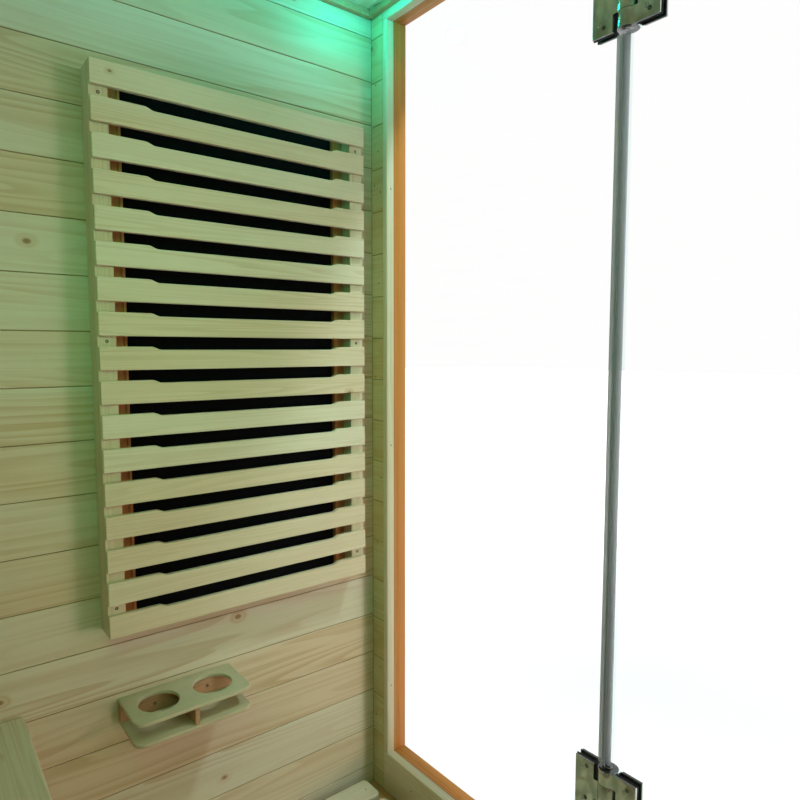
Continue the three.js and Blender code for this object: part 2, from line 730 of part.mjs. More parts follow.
function cupPlate(z, bored) {
  const shape = new THREE.Shape();
  const [y0, y1] = [cupY - CUP_LENGTH / 2, cupY + CUP_LENGTH / 2];
  const inset = cupFrontX + CUP_CORNER;
  shape.moveTo(cupBackX, y0);
  shape.lineTo(cupBackX, y1);
  shape.lineTo(inset, y1);
  shape.absarc(inset, y1 - CUP_CORNER, CUP_CORNER, Math.PI / 2, Math.PI);
  shape.lineTo(cupFrontX, y0 + CUP_CORNER);
  shape.absarc(inset, y0 + CUP_CORNER, CUP_CORNER, Math.PI, 1.5 * Math.PI);
  if (bored) {
    for (const shift of [-CUP_HOLE_SPACING / 2, CUP_HOLE_SPACING / 2]) {
      shape.holes.push(circle(cupBackX - CUP_HOLE_FROM_WALL, cupY + shift, CUP_HOLE_RADIUS));
    }
  }
  return sweepZ(shape, z, z + CUP_PLATE, bored ? 14 : 6);
}

const cupTopZ = floorZ + CUP_TOP - CUP_PLATE;
const cupBottomZ = cupTopZ - FIT - CUP_SPACE - FIT - CUP_PLATE;
piece('cup_holder_top', cupPlate(cupTopZ, true), knottyPine);
piece('cup_holder_bottom', cupPlate(cupBottomZ, false), knottyPine);
const railFaceX = cupBackX - CUP_BACK_RAIL;
piece('cup_holder_spacer', sweepZ(outline([
  [cupBackX, cupY - CUP_LENGTH / 2], [cupBackX, cupY + CUP_LENGTH / 2],
  [railFaceX, cupY + CUP_LENGTH / 2], [railFaceX, cupY + CUP_DIVIDER / 2],
  [cupFrontX + CUP_DIVIDER_SETBACK, cupY + CUP_DIVIDER / 2],
  [cupFrontX + CUP_DIVIDER_SETBACK, cupY - CUP_DIVIDER / 2],
  [railFaceX, cupY - CUP_DIVIDER / 2], [railFaceX, cupY - CUP_LENGTH / 2],
]), cupTopZ - FIT - CUP_SPACE, cupTopZ - FIT), knottyPine);

// Ceiling lining with the vent hole and the two rails of its sliding cover
const ventY = backY - VENT_FROM_BACK;
const ventHole = sweepZ(
  new THREE.Shape().absarc(0, ventY, VENT_RADIUS, 0, 2 * Math.PI),
  ceilingZ - LINING, roofZ + 2 * ROOF_THICKNESS, 12,
);
const ventHalf = VENT_BOARD / 2;
const railDrop = FIT + VENT_BOARD_THICKNESS + FIT + VENT_LIP;

function ventRail(sign) {
  const face = ventY + sign * (ventHalf + FIT);
  return sweepX(outline([
    [face, ceilingZ + FIT], [face, ceilingZ - railDrop + VENT_LIP],
    [face - sign * VENT_LIP, ceilingZ - railDrop + VENT_LIP],
    [face - sign * VENT_LIP, ceilingZ - railDrop],
    [face + sign * VENT_RAIL, ceilingZ - railDrop], [face + sign * VENT_RAIL, ceilingZ + FIT],
  ]), -ventHalf, ventHalf + VENT_TRAVEL);
}

const ceilingJoints = [];
for (let y = frontY + BOARD_PITCH; y < backY - JOINT_WIDTH; y += BOARD_PITCH) ceilingJoints.push(y);
const ceilingProfile = boardOutline(LINING, frontY + FIT, backY - FIT, ceilingJoints);
const ceilingBoards = sweepX(
  outline(ceilingProfile.map(([u, y]) => [y, ceilingZ + u])), -innerX + FIT, innerX - FIT,
);
piece('ceiling_lining', cut(
  join(ceilingBoards, ventRail(1), ventRail(-1)), ventHole,
), pine);

const coverTop = ceilingZ - FIT;
const coverLow = coverTop - VENT_BOARD_THICKNESS;
const cover = block([-ventHalf, ventHalf], [ventY - ventHalf, ventY + ventHalf], [coverLow, coverTop]);
const knob = turned([
  [0, coverLow - KNOB_LENGTH], [KNOB_RADIUS, coverLow - KNOB_LENGTH],
  [KNOB_RADIUS, coverLow - KNOB_LENGTH / 2], [KNOB_RADIUS / 2, coverLow - KNOB_LENGTH / 4],
  [KNOB_RADIUS / 2, coverLow + FIT], [0, coverLow + FIT],
], 14).translate(0, ventY, 0);
piece('vent_cover', join(cover, knob).translate(VENT_TRAVEL, 0, 0), palePine);

// Roof panel
const roofX = CABIN_WIDTH / 2 + ROOF_OVERHANG;
const roofTopZ = roofZ + ROOF_THICKNESS;
piece('roof_panel', cut(block(
  [-roofX, roofX], [outerFrontY - ROOF_OVERHANG, outerBackY + ROOF_OVERHANG], [roofZ, roofTopZ],
), ventHole), knottyPine);

// Ceiling lamps: round body with a shallow domed lens
const lampTop = ceilingZ - FIT;
const rimLow = lampTop - LAMP_HEIGHT;
const lensDome = [0, 1 / 2, 1].map(
  (share) => [LENS_RADIUS * share, rimLow - LENS_DROP * (1 - share * share)],
);
for (const [side, sign] of [['right', 1], ['left', -1]]) {
  const x = sign * (innerX - LAMP_FROM_SIDE);
  const y = frontY + LAMP_FROM_FRONT;
  piece(`${side}_ceiling_lamp`, turned([
    ...lensDome, [LAMP_RADIUS, rimLow + LAMP_HEIGHT / 2], [LAMP_RADIUS, lampTop], [0, lampTop],
  ], 24).translate(x, y, 0), lampLens);
}

// Control panel: housing with a display window and three sprung buttons
const panelBackX = -innerX + FIT;
const panelFaceX = panelBackX + PANEL_THICK;
const panelY = sideGuardEndY + PANEL_FROM_GUARD + PANEL_WIDE / 2;
const panelZ = floorZ + PANEL_HEIGHT;
const buttonZ = panelZ - BUTTON_DROP;

function buttonShaft(radius, x0, x1, y) {
  return sweepX(
    new THREE.Shape().absarc(y, buttonZ, radius, 0, 2 * Math.PI), x0, x1, 12,
  );
}

const buttons = [['minus', -1], ['power', 0], ['plus', 1]];
piece('control_panel', cut(
  sweepX(rounded(
    panelY - PANEL_WIDE / 2, panelY + PANEL_WIDE / 2,
    panelZ - PANEL_TALL / 2, panelZ + PANEL_TALL / 2, PANEL_CORNER,
  ), panelBackX, panelFaceX, 4),
  block(
    [panelFaceX - DISPLAY_RECESS, panelFaceX + DISPLAY_RECESS],
    [panelY - DISPLAY_WIDE / 2, panelY + DISPLAY_WIDE / 2],
    [panelZ + DISPLAY_RISE - DISPLAY_TALL / 2, panelZ + DISPLAY_RISE + DISPLAY_TALL / 2],
  ),
  ...buttons.map(([, step]) => buttonShaft(
    BUTTON_RADIUS + FIT, panelFaceX - BUTTON_POCKET, panelFaceX + BUTTON_POCKET,
    panelY + step * BUTTON_SPACING,
  )),
), blackPlastic);
for (const [name, step] of buttons) {
  piece(`${name}_button`, buttonShaft(
    BUTTON_RADIUS, panelFaceX - BUTTON_POCKET + BUTTON_TRAVEL + FIT, panelFaceX + BUTTON_PROUD,
    panelY + step * BUTTON_SPACING,
  ), greyPlastic);
}

// Power box on the roof with the round inlet that the supply lead enters by
const boxBack = outerBackY - POWER_BOX_FROM_BACK;
const boxLow = roofTopZ + FIT;
const powerBox = sweepZ(rounded(
  -POWER_BOX.wide / 2, POWER_BOX.wide / 2, boxBack - POWER_BOX.deep, boxBack, POWER_BOX_CORNER,
), boxLow, boxLow + POWER_BOX.tall, 4);
const inlet = sweepY(
  new THREE.Shape().absarc(boxLow + POWER_BOX.tall / 2, 0, INLET_RADIUS, 0, 2 * Math.PI),
  boxBack - POWER_BOX_CORNER, boxBack + INLET_LENGTH, 10,
);
piece('roof_power_box', join(powerBox, inlet), blackPlastic);

export default cabin;
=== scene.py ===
import math

import bmesh
import bpy
from mathutils import Matrix, Vector


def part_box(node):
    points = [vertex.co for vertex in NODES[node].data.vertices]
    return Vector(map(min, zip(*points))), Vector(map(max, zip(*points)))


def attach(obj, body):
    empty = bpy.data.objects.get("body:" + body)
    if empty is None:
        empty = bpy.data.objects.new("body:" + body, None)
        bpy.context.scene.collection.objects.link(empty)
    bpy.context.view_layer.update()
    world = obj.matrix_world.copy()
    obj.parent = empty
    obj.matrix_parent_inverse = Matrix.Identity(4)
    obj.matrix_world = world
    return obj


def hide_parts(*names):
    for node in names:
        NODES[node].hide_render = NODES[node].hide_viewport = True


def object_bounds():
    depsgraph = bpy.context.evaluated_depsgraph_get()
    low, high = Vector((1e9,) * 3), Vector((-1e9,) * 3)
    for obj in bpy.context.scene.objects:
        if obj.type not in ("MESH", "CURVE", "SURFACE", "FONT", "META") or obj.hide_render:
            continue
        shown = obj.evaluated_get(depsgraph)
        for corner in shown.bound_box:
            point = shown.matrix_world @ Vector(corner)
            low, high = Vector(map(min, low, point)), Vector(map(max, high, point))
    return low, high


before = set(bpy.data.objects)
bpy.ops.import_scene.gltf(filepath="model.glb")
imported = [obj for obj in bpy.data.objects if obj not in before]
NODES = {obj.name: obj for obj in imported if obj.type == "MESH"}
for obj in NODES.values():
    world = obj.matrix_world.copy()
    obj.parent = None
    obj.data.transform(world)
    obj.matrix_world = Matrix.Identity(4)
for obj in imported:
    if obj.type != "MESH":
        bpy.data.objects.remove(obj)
cad_low, cad_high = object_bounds()
SIDES = {"right": 1, "left": -1}

# Slatted guards, in metres
SLAT_PITCH = 0.060
SLAT_HEIGHT = 0.0415
SLAT_THICKNESS = 0.011
SLAT_RELIEF = 0.0055
RELIEF_RUN = 0.018
RELIEF_STEPS = 10
SLAT_SHORT_END = 0.069
SLAT_LONG_END = 0.088
GUARD_SLATS = 17
BENCH_FRONT_SLATS = 6
STILE_POST = 0.031
STILE_CHANNEL = 0.021
STILE_LINER = 0.005
LINER_DEPTH = 0.022
CHANNEL_FLOOR = 0.019
HEATER_DROP = 0.014

# Bench and floor grating
BATTEN_WIDTH = 0.040
BENCH_SLATS = 5
BENCH_SLAT_GAP = 0.010
BENCH_SLAT = 0.024
BENCH_OVERHANG = 0.015
GRATE_SLAT = 0.065
GRATE_PITCH = 0.080
GRATE_SLATS = 23
GRATE_SLAT_THICKNESS = 0.018
GRATE_CORNER = 0.012
GRATE_CORNER_STEPS = 5
GRATE_BATTEN_INSET = 0.1075
GRATE_NAIL_INSET = 0.022

# Boards of the shell, with a V-joint at every pitch, and strips in the frame
BOARD_PITCH = 0.0975
FIRST_JOINT = 0.045
FRONT_JOINT_DROP = 0.006
LINING = 0.012
TRIM = 0.016
TRIM_CLEARANCE = 0.0003
BEDDING = 0.006
BEDDING_CLEARANCE = 0.00018

# Fasteners: their heads, and where they are driven
HINGE_SCREW_RADIUS = 0.0038
HINGE_SCREW_RISE = 0.030
WOOD_SCREW_RADIUS = 0.0030
NAIL_RADIUS = 0.0018
HEAD_DEPTH = 0.0009
HEAD_SIDES = 14
HEAD_RECESS = 0.45
HEAD_TAPER = 0.8
HEAD_CROWN = 0.75
REVEAL_NAIL_HEIGHTS = (0.27, 0.86, 1.452)
REVEAL_NAIL_DEPTH = 0.012
SILL_NAIL_PLACES = (-0.72, -0.41, -0.05, 0.33, 0.78)
SILL_NAIL_HEIGHT = 0.055
CUP_SCREW_SHIFTS = (-0.056, 0.048)
CUP_RAIL = 0.018

# Height and distance from the wall of each nail in a front post
POST_NAILS = (
    (0.18, 0.0123), (0.31, 0.0303), (0.62, 0.0203), (0.78, 0.0363), (1.02, 0.0143),
    (1.24, 0.0283), (1.448, 0.0343), (1.466, 0.0123), (1.541, 0.0263), (1.69, 0.0183),
)

# Lamps and the display window
LENS_RADIUS = 0.030
LENS_DOME = 0.004
LENS_STEPS = 8
LENS_BACK = 0.001
LAMP_SIDES = 48
RING_GAP = 0.0002
RING_LIP = 0.002
RING_LIP_RISE = 0.0028
RING_SLOPE = 0.004
RING_SLOPE_RISE = 0.0055
RING_EDGE_RISE = 0.0095
WINDOW_RISE = 0.034
WINDOW_HALF_WIDTH = 0.0306
WINDOW_HALF_HEIGHT = 0.0196
WINDOW_BACK = 0.0014
WINDOW_FACE = 0.0004

# Rounding of the edges of each kind of piece
EASE = {
    "slat": 0.0018, "guard_post": 0.0012, "guard_channel": 0.0006,
    "seat_slat": 0.005, "seat_batten": 0.002, "ledger": 0.002,
    "grating_slat": 0.004, "grating_batten": 0.0015,
    "frame_board": 0.0008, "bedding": 0.0002, "trim": 0.003,
    "floor": 0.003, "roof": 0.004, "vent_cover": 0.002, "power_box": 0.003,
    "handle": 0.0045, "seal": 0.0004, "hinge_plate": 0.0007, "hinge_pin": 0.0006, "gasket": 0.0003,
    "heater": 0.001, "cup_plate": 0.001, "cup_spacer": 0.0006,
    "control_panel": 0.0014, "window": 0.0003, "button": 0.0009,
}

# Limits for rounding edges, joining flat faces, merging corners and telling which way a face looks
EASE_ANGLE = math.radians(35)
FLAT_ANGLE = math.radians(0.5)
MERGE = 1e-5
SQUARE_ON = 0.9

# Draw of each timber in a mesh of several, which sets its tone
FIRST_DRAW = 0.2
NEXT_DRAW = 0.37

# Places taken from the frame
inner_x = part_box("right_wall_lining")[0].x
front_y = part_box("front_right_post")[1].y
back_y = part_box("back_wall_lining")[0].y
floor_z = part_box("floor_panel")[1].z
ceiling_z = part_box("ceiling_lining")[1].z - LINING
sill_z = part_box("front_sill")[1].z
head_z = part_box("front_head")[0].z


# Shader node helpers

def feed(tree, node, inputs):
    """Links a pattern to each named socket, or sets a constant on it."""
    for key, value in inputs.items():
        if isinstance(value, bpy.types.NodeSocket):
            tree.links.new(value, node.inputs[key])
        else:
            node.inputs[key].default_value = value


def add(tree, kind, inputs=None, **settings):
    node = tree.nodes.new(kind)
    for key, value in settings.items():
        setattr(node, key, value)
    feed(tree, node, inputs or {})
    return node


def maths(tree, operation, first, second=0.0):
    return add(tree, "ShaderNodeMath", {0: first, 1: second}, operation=operation).outputs[0]


def times(tree, first, second):
    return maths(tree, "MULTIPLY", first, second)


def between(tree, value, low, high, start=0.0, end=1.0):
    """A smooth change from start to end while the value goes from low to high."""
    node = add(tree, "ShaderNodeMapRange", {
        "Value": value, "From Min": low, "From Max": high, "To Min": start, "To Max": end,
    }, interpolation_type="SMOOTHSTEP")
    return node.outputs["Result"]


def fading(tree, value, low, high):
    """1 up to low and 0 from high on."""
    return between(tree, value, low, high, 1.0, 0.0)


def blend(tree, factor, first, second, mode="MIX"):
    sockets = {0: factor, 6: first, 7: second}
    return add(tree, "ShaderNodeMix", sockets, data_type="RGBA", blend_type=mode).outputs[2]


def noise(tree, vector, detail=2.0, roughness=0.5, distortion=0.0):
    node = add(tree, "ShaderNodeTexNoise", {
        "Vector": vector, "Scale": 1.0, "Detail": detail, "Roughness": roughness,
        "Distortion": distortion,
    })
    return node.outputs["Fac"]


def vector_of(tree, x, y, z):
    return add(tree, "ShaderNodeCombineXYZ", {"X": x, "Y": y, "Z": z}).outputs[0]


def colour(red, green, blue):
    return (red, green, blue, 1.0)


def material(name):
    made = bpy.data.materials.new(name)
    made.use_nodes = True
    tree = made.node_tree
    tree.nodes.clear()
    shader = tree.nodes.new("ShaderNodeBsdfPrincipled")
    output = tree.nodes.new("ShaderNodeOutputMaterial")
    tree.links.new(shader.outputs[0], output.inputs["Surface"])
    return made, tree, shader


def object_axes(tree):
    place = add(tree, "ShaderNodeTexCoord").outputs["Object"]
    parts = add(tree, "ShaderNodeSeparateXYZ", {"Vector": place})
    return {axis: parts.outputs[axis] for axis in "XYZ"}


def scaled(tree, axes, x=1.0, y=1.0, z=1.0):
    """Object coordinates scaled by axis, so that a pattern is drawn out along the small scales."""
    scales = zip("XYZ", (x, y, z))
    return vector_of(tree, *(times(tree, axes[axis], scale) for axis, scale in scales))


def facing_along(tree, axis):
    """How squarely a face looks along an axis, either way."""
    normal = add(tree, "ShaderNodeNewGeometry").outputs["Normal"]
    parts = add(tree, "ShaderNodeSeparateXYZ", {"Vector": normal})
    return maths(tree, "ABSOLUTE", parts.outputs[axis])


def bumped(tree, shader, height, strength, distance):
    bump = add(tree, "ShaderNodeBump", {
        "Height": height, "Strength": strength, "Distance": distance,
    })
    tree.links.new(bump.outputs[0], shader.inputs["Normal"])


# Pine

def pine_tones(light, warm, late):
    """Early wood, redder boards and late wood of one pine."""
    return {"light": colour(*light), "warm": colour(*warm), "late": colour(*late)}


PALE = pine_tones((0.68, 0.60, 0.43), (0.66, 0.53, 0.35), (0.50, 0.38, 0.21))
LINED = pine_tones((0.63, 0.57, 0.42), (0.62, 0.49, 0.32), (0.45, 0.29, 0.14))
# Painted shade: the front posts' tone is darker and yellower for the bounced light in their corner
SHADED = pine_tones((0.58, 0.52, 0.29), (0.56, 0.45, 0.23), (0.42, 0.28, 0.11))
# Painted shade: pine darkened and reddened for the shade on the ceiling trim and the drink holder's spacer
AMBER_SHADE = pine_tones((0.47, 0.26, 0.14), (0.42, 0.21, 0.10), (0.30, 0.13, 0.06))
# Painted shade: the channels and liners behind the slats are reddened and darkened for the warm shade they
# stand in
CHANNEL = pine_tones((0.68, 0.29, 0.10), (0.62, 0.24, 0.07), (0.45, 0.15, 0.04))
HONEY = pine_tones((0.56, 0.34, 0.14), (0.49, 0.27, 0.10), (0.34, 0.16, 0.05))
PLY = pine_tones((0.52, 0.46, 0.29), (0.50, 0.41, 0.24), (0.42, 0.33, 0.18))
KNOT = colour(0.24, 0.12, 0.05)
KNOT_RING = colour(0.48, 0.27, 0.11)
KNOT_CELLS = 6.5
KNOT_LENGTH = 0.72
KNOT_RADIUS = 0.0025
KNOT_RADIUS_SPREAD = 0.005
HONEY_STAIN = colour(0.84, 0.37, 0.11)
STAIN_ABOVE_GLASS = 0.006
STAIN_BLUR = 0.0005
# Width and tone of the painted shadow line along the edge of the stain
SHADOW_LINE_WIDTH = 0.0012
SHADOW_LINE_TONE = colour(0.40, 0.34, 0.24)
JOINT_SHADE = colour(0.42, 0.33, 0.21)
JOINT_HALF_WIDTH = 0.0010
# Width of the painted shade in the inside corners
CORNER_SHADE_WIDTH = 0.0025

# How far the patterns of two boards lie apart, and scales along and across the timber
BOARD_SHIFT = 41.0
SHIFT_ACROSS = 1.7
GROWTH_ALONG = 0.75
FIBRE_SCALE = (7.0, 330.0)
CLOUD_SCALE = (1.6, 11.0)

# Axes along the timber and across it
GRAIN_AXES = {"X": "XYZ", "Y": "YZX", "Z": "ZXY"}


def board_draw(tree, axes, boards):
    """A draw for each board, and the place across the boards in pitches where one mesh holds many."""
    if not boards:
        return add(tree, "ShaderNodeAttribute", attribute_name="board").outputs["Fac"], None
    axis, first, pitch = boards
    place = maths(tree, "DIVIDE", maths(tree, "SUBTRACT", axes[axis], first), pitch)
    count = maths(tree, "FLOOR", place)
    draw = add(tree, "ShaderNodeTexWhiteNoise", {"W": count}, noise_dimensions="1D")
    return draw.outputs["Value"], place


def along_grain(tree, grain, seed, long, across):
    """Coordinates scaled along and across the timber, moved on for each board."""
    scales = (long, across, across)
    drawn = vector_of(tree, *(times(tree, axis, scale) for axis, scale in zip(grain, scales)))
    shift = vector_of(tree, seed, times(tree, seed, SHIFT_ACROSS), 0.0)
    return add(tree, "ShaderNodeVectorMath", {0: drawn, 1: shift}, operation="ADD").outputs[0]


def knot_marks(tree, grain, seed, knots):
    """Core and halo of the knots: one candidate in each cell, kept where its draw is low."""
    run, wide, deep = grain
    along = maths(tree, "ADD", times(tree, run, KNOT_CELLS * KNOT_LENGTH), seed)
    across = times(tree, maths(tree, "ADD", wide, deep), KNOT_CELLS)
    cells = add(tree, "ShaderNodeTexVoronoi", {
        "Vector": vector_of(tree, along, across, 0.0), "Scale": 1.0,
    }, voronoi_dimensions="2D")
    draws = add(tree, "ShaderNodeSeparateColor", {"Color": cells.outputs["Color"]})
    kept = maths(tree, "LESS_THAN", draws.outputs[0], knots)
    spread = times(tree, draws.outputs[1], KNOT_RADIUS_SPREAD)
    radius = maths(tree, "ADD", spread, KNOT_RADIUS)
    distance = maths(tree, "DIVIDE", cells.outputs["Distance"], KNOT_CELLS)
    reach = maths(tree, "DIVIDE", distance, radius)
    core = times(tree, fading(tree, reach, 0.5, 1.15), kept)
    halo = times(tree, fading(tree, reach, 0.8, 3.2), kept)
    return core, halo


def growth_lines(tree, place, rings, halo):
    """Late wood as the contours of a long smooth field, drawn round the knots."""
    field = noise(tree, place, detail=1.3, roughness=0.4, distortion=0.2)
    height = maths(tree, "ADD", times(tree, field, rings), halo)
    line = maths(tree, "FRACT", height)
    return times(tree, between(tree, line, 0.20, 0.86), fading(tree, line, 0.90, 1.0))


def jointed(tree, surface, place, pitch):
    """Dark lines at the joints between boards."""
    share = maths(tree, "FRACT", place)
    nearest = maths(tree, "MINIMUM", share, maths(tree, "SUBTRACT", 1.0, share))
    distance = times(tree, nearest, pitch)
    joint = fading(tree, distance, JOINT_HALF_WIDTH * 0.3, JOINT_HALF_WIDTH)
    return blend(tree, joint, surface, JOINT_SHADE, "MULTIPLY")


def stained_outside(tree, surface, depth, limit):
    """Honey stain on the outer side of a limit, and a painted shadow line along the limit."""
    outside = fading(tree, depth, limit - STAIN_BLUR, limit + STAIN_BLUR)
    stained = blend(tree, outside, surface, HONEY_STAIN, "MULTIPLY")
    rim = maths(tree, "ABSOLUTE", maths(tree, "SUBTRACT", depth, limit))
    edge = fading(tree, rim, SHADOW_LINE_WIDTH * 0.4, SHADOW_LINE_WIDTH)
    return blend(tree, edge, stained, SHADOW_LINE_TONE, "MULTIPLY")


def shaded_corner(tree, surface, across, corner):
    """Dark line in the inside corners, where the boards meet the side walls: the joint, darkened further as
    painted shade.
    """
    reach = maths(tree, "ABSOLUTE", across)
    corner_shade = between(tree, reach, corner - CORNER_SHADE_WIDTH, corner - CORNER_SHADE_WIDTH * 0.4)
    return blend(tree, corner_shade, surface, JOINT_SHADE, "MULTIPLY")


def pine(name, along, tones, boards=None, knots=0.12, figure=0.45, wide=15.0, rings=13.0,
         stained_below=None, corner=None):
    """Pine with growth lines that follow the timber, fibres, knots and a tone for each board.

    boards is (axis, first joint, pitch) where one mesh holds many boards, and otherwise the
    mesh's own board attribute is read. stained_below is the depth outside which it is stained,
    with a painted shadow line along it, and corner is how far out the dark line in its corners
    stands: the joint, darkened further as painted shade.
    """
    made, tree, shader = material(name)
    axes = object_axes(tree)
    grain = [axes[axis] for axis in GRAIN_AXES[along]]
    board, place = board_draw(tree, axes, boards)
    seed = times(tree, board, BOARD_SHIFT)
    core, halo = knot_marks(tree, grain, seed, knots)
    late = growth_lines(tree, along_grain(tree, grain, seed, GROWTH_ALONG, wide), rings, halo)
    fibre = noise(tree, along_grain(tree, grain, seed, *FIBRE_SCALE), detail=2.5, roughness=0.6)
    cloud = noise(tree, along_grain(tree, grain, seed, *CLOUD_SCALE))

    redness = maths(tree, "ADD", cloud, times(tree, board, 0.55))
    surface = blend(tree, between(tree, redness, 0.55, 1.1), tones["light"], tones["warm"])
    depth = between(tree, cloud, 0.3, 0.75, 0.2 * figure, figure)
    surface = blend(tree, times(tree, late, depth), surface, tones["late"])
    surface = blend(tree, between(tree, fibre, 0.45, 0.80, 0.0, 0.24), surface, tones["late"])
    surface = blend(tree, times(tree, halo, 0.4), surface, KNOT_RING)
    surface = blend(tree, times(tree, core, 0.8), surface, KNOT)
    if boards:
        surface = jointed(tree, surface, place, boards[2])
    if stained_below is not None:
        surface = stained_outside(tree, surface, axes["Y"], stained_below)
    if corner is not None:
        surface = shaded_corner(tree, surface, axes["X"], corner)
    feed(tree, shader, {
        "Base Color": surface, "Roughness": between(tree, fibre, 0.25, 0.8, 0.46, 0.66),
        "Specular IOR Level": 0.32,
    })
    relief = maths(tree, "ADD", times(tree, fibre, 0.6), times(tree, late, 0.4))
    bumped(tree, shader, relief, strength=0.35, distance=0.0005)
    return made


# Other finishes

def clear_glass(name, edge):
    """Plate glass: see-through, with a mirror gloss that grows at a slant and tinted edges."""
    made, tree, shader = material(name)
    tree.nodes.remove(shader)
    ripple = noise(tree, scaled(tree, object_axes(tree)), detail=1.0)
    on_face = between(tree, facing_along(tree, "Y"), 0.3, 0.7)
    clear = add(tree, "ShaderNodeBsdfTransparent", {
        "Color": blend(tree, on_face, edge, colour(1.0, 1.0, 1.0)),
    })
    gloss = add(tree, "ShaderNodeBsdfGlossy", {
        "Color": colour(0.95, 1.0, 0.98), "Roughness": between(tree, ripple, 0.3, 0.7, 0.01, 0.03),
    })
    slant = add(tree, "ShaderNodeFresnel", {"IOR": 1.38}).outputs[0]
    behind = add(tree, "ShaderNodeNewGeometry").outputs["Backfacing"]
    mirrored = times(tree, slant, maths(tree, "SUBTRACT", 1.0, behind))
    share = times(tree, mirrored, 0.4)
    pane = add(tree, "ShaderNodeMixShader", {0: share, 1: clear.outputs[0], 2: gloss.outputs[0]})
    tree.links.new(pane.outputs[0], tree.nodes["Material Output"].inputs["Surface"])
    return made


def grained(name, base, rough, metallic=0.0, grain=900.0, depth=0.00008, spread=0.1, coat=0.0):
    """A moulded, rubber or metal finish with a fine grain and slightly uneven gloss."""
    made, tree, shader = material(name)
    axes = object_axes(tree)
    speck = noise(tree, scaled(tree, axes, grain, grain, grain))
    haze = noise(tree, scaled(tree, axes, 14.0, 14.0, 14.0), detail=3.0)
    dark = colour(*(part * 0.8 for part in base))
    low, high = max(rough - spread, 0.02), rough + spread
    feed(tree, shader, {
        "Base Color": blend(tree, between(tree, haze, 0.3, 0.7), dark, colour(*base)),
        "Roughness": between(tree, haze, 0.25, 0.75, low, high),
        "Metallic": metallic, "Coat Weight": coat,
    })
    bumped(tree, shader, speck, strength=0.3, distance=depth)
    return made


def polished_metal():
    """Bright polished metal, with painted streaks of reflection and a green tint painted as reflected green
    light, darker on faces that look up or down.
    """
    made, tree, shader = material("Polished metal")
    reflection_streaks = noise(tree, scaled(tree, object_axes(tree), 60.0, 60.0, 34.0), detail=1.5)
    cloud = between(tree, reflection_streaks, 0.35, 0.65)
    # Painted reflection: streaks and a green tint, as the green-lit room would show in the metal
    streaked_tone = blend(tree, cloud, colour(0.42, 0.50, 0.44), colour(0.63, 0.70, 0.64))
    end = between(tree, facing_along(tree, "Z"), 0.75, 0.95)
    feed(tree, shader, {
        "Base Color": blend(tree, end, streaked_tone, colour(0.10, 0.10, 0.10)),
        "Roughness": between(tree, reflection_streaks, 0.3, 0.7, 0.24, 0.10), "Metallic": 1.0,
    })
    bumped(tree, shader, reflection_streaks, strength=0.06, distance=0.0002)
    return made


def woven_heater():
    """Matt black heater film under a fine cloth weave."""
    made, tree, shader = material("Heater cloth")
    axes = object_axes(tree)
    thread_pitch = 0.0016
    turns = 2 * math.pi / thread_pitch
    level = maths(tree, "SINE", times(tree, axes["Z"], turns))
    run = maths(tree, "ADD", axes["X"], axes["Y"])
    upright = maths(tree, "SINE", times(tree, run, turns))
    weave = times(tree, level, upright)
    haze = noise(tree, scaled(tree, axes), detail=3.0)
    feed(tree, shader, {
        "Base Color": blend(tree, haze, colour(0.004, 0.004, 0.0045), colour(0.009, 0.009, 0.0095)),
        "Roughness": between(tree, weave, -1.0, 1.0, 0.8, 0.95), "Specular IOR Level": 0.08,
    })
    bumped(tree, shader, weave, strength=0.4, distance=0.0003)
    return made


def soft_seal():
    """Clear soft plastic, with painted streaks of reflection along its length and a blue tint painted
    against the warm light inside.
    """
    made, tree, shader = material("Soft clear seal")
    sheen_streak = noise(tree, scaled(tree, object_axes(tree), 260.0, 260.0, 1.5))
    feed(tree, shader, {
        # Painted reflection: streaks along the seal, and a blue tint that offsets the warm light inside
        "Base Color": blend(tree, sheen_streak, colour(0.17, 0.21, 0.28), colour(0.52, 0.51, 0.63)),
        "Roughness": between(tree, sheen_streak, 0.3, 0.7, 0.12, 0.3),
        "Coat Weight": 0.5, "Alpha": 0.66,
    })
    bumped(tree, shader, sheen_streak, strength=0.3, distance=0.0004)
    return made


def lit_lens():
    """Frosted lens with green light behind it, a little uneven."""
    made, tree, shader = material("Lit lens")
    frost = noise(tree, scaled(tree, object_axes(tree), 400.0, 400.0))
    tone = blend(tree, frost, colour(0.03, 0.80, 0.62), colour(0.10, 0.95, 0.78))
    feed(tree, shader, {
        "Base Color": tone, "Roughness": between(tree, frost, 0.3, 0.7, 0.25, 0.45),
        "Emission Color": tone, "Emission Strength": 3.0,
    })
    return made


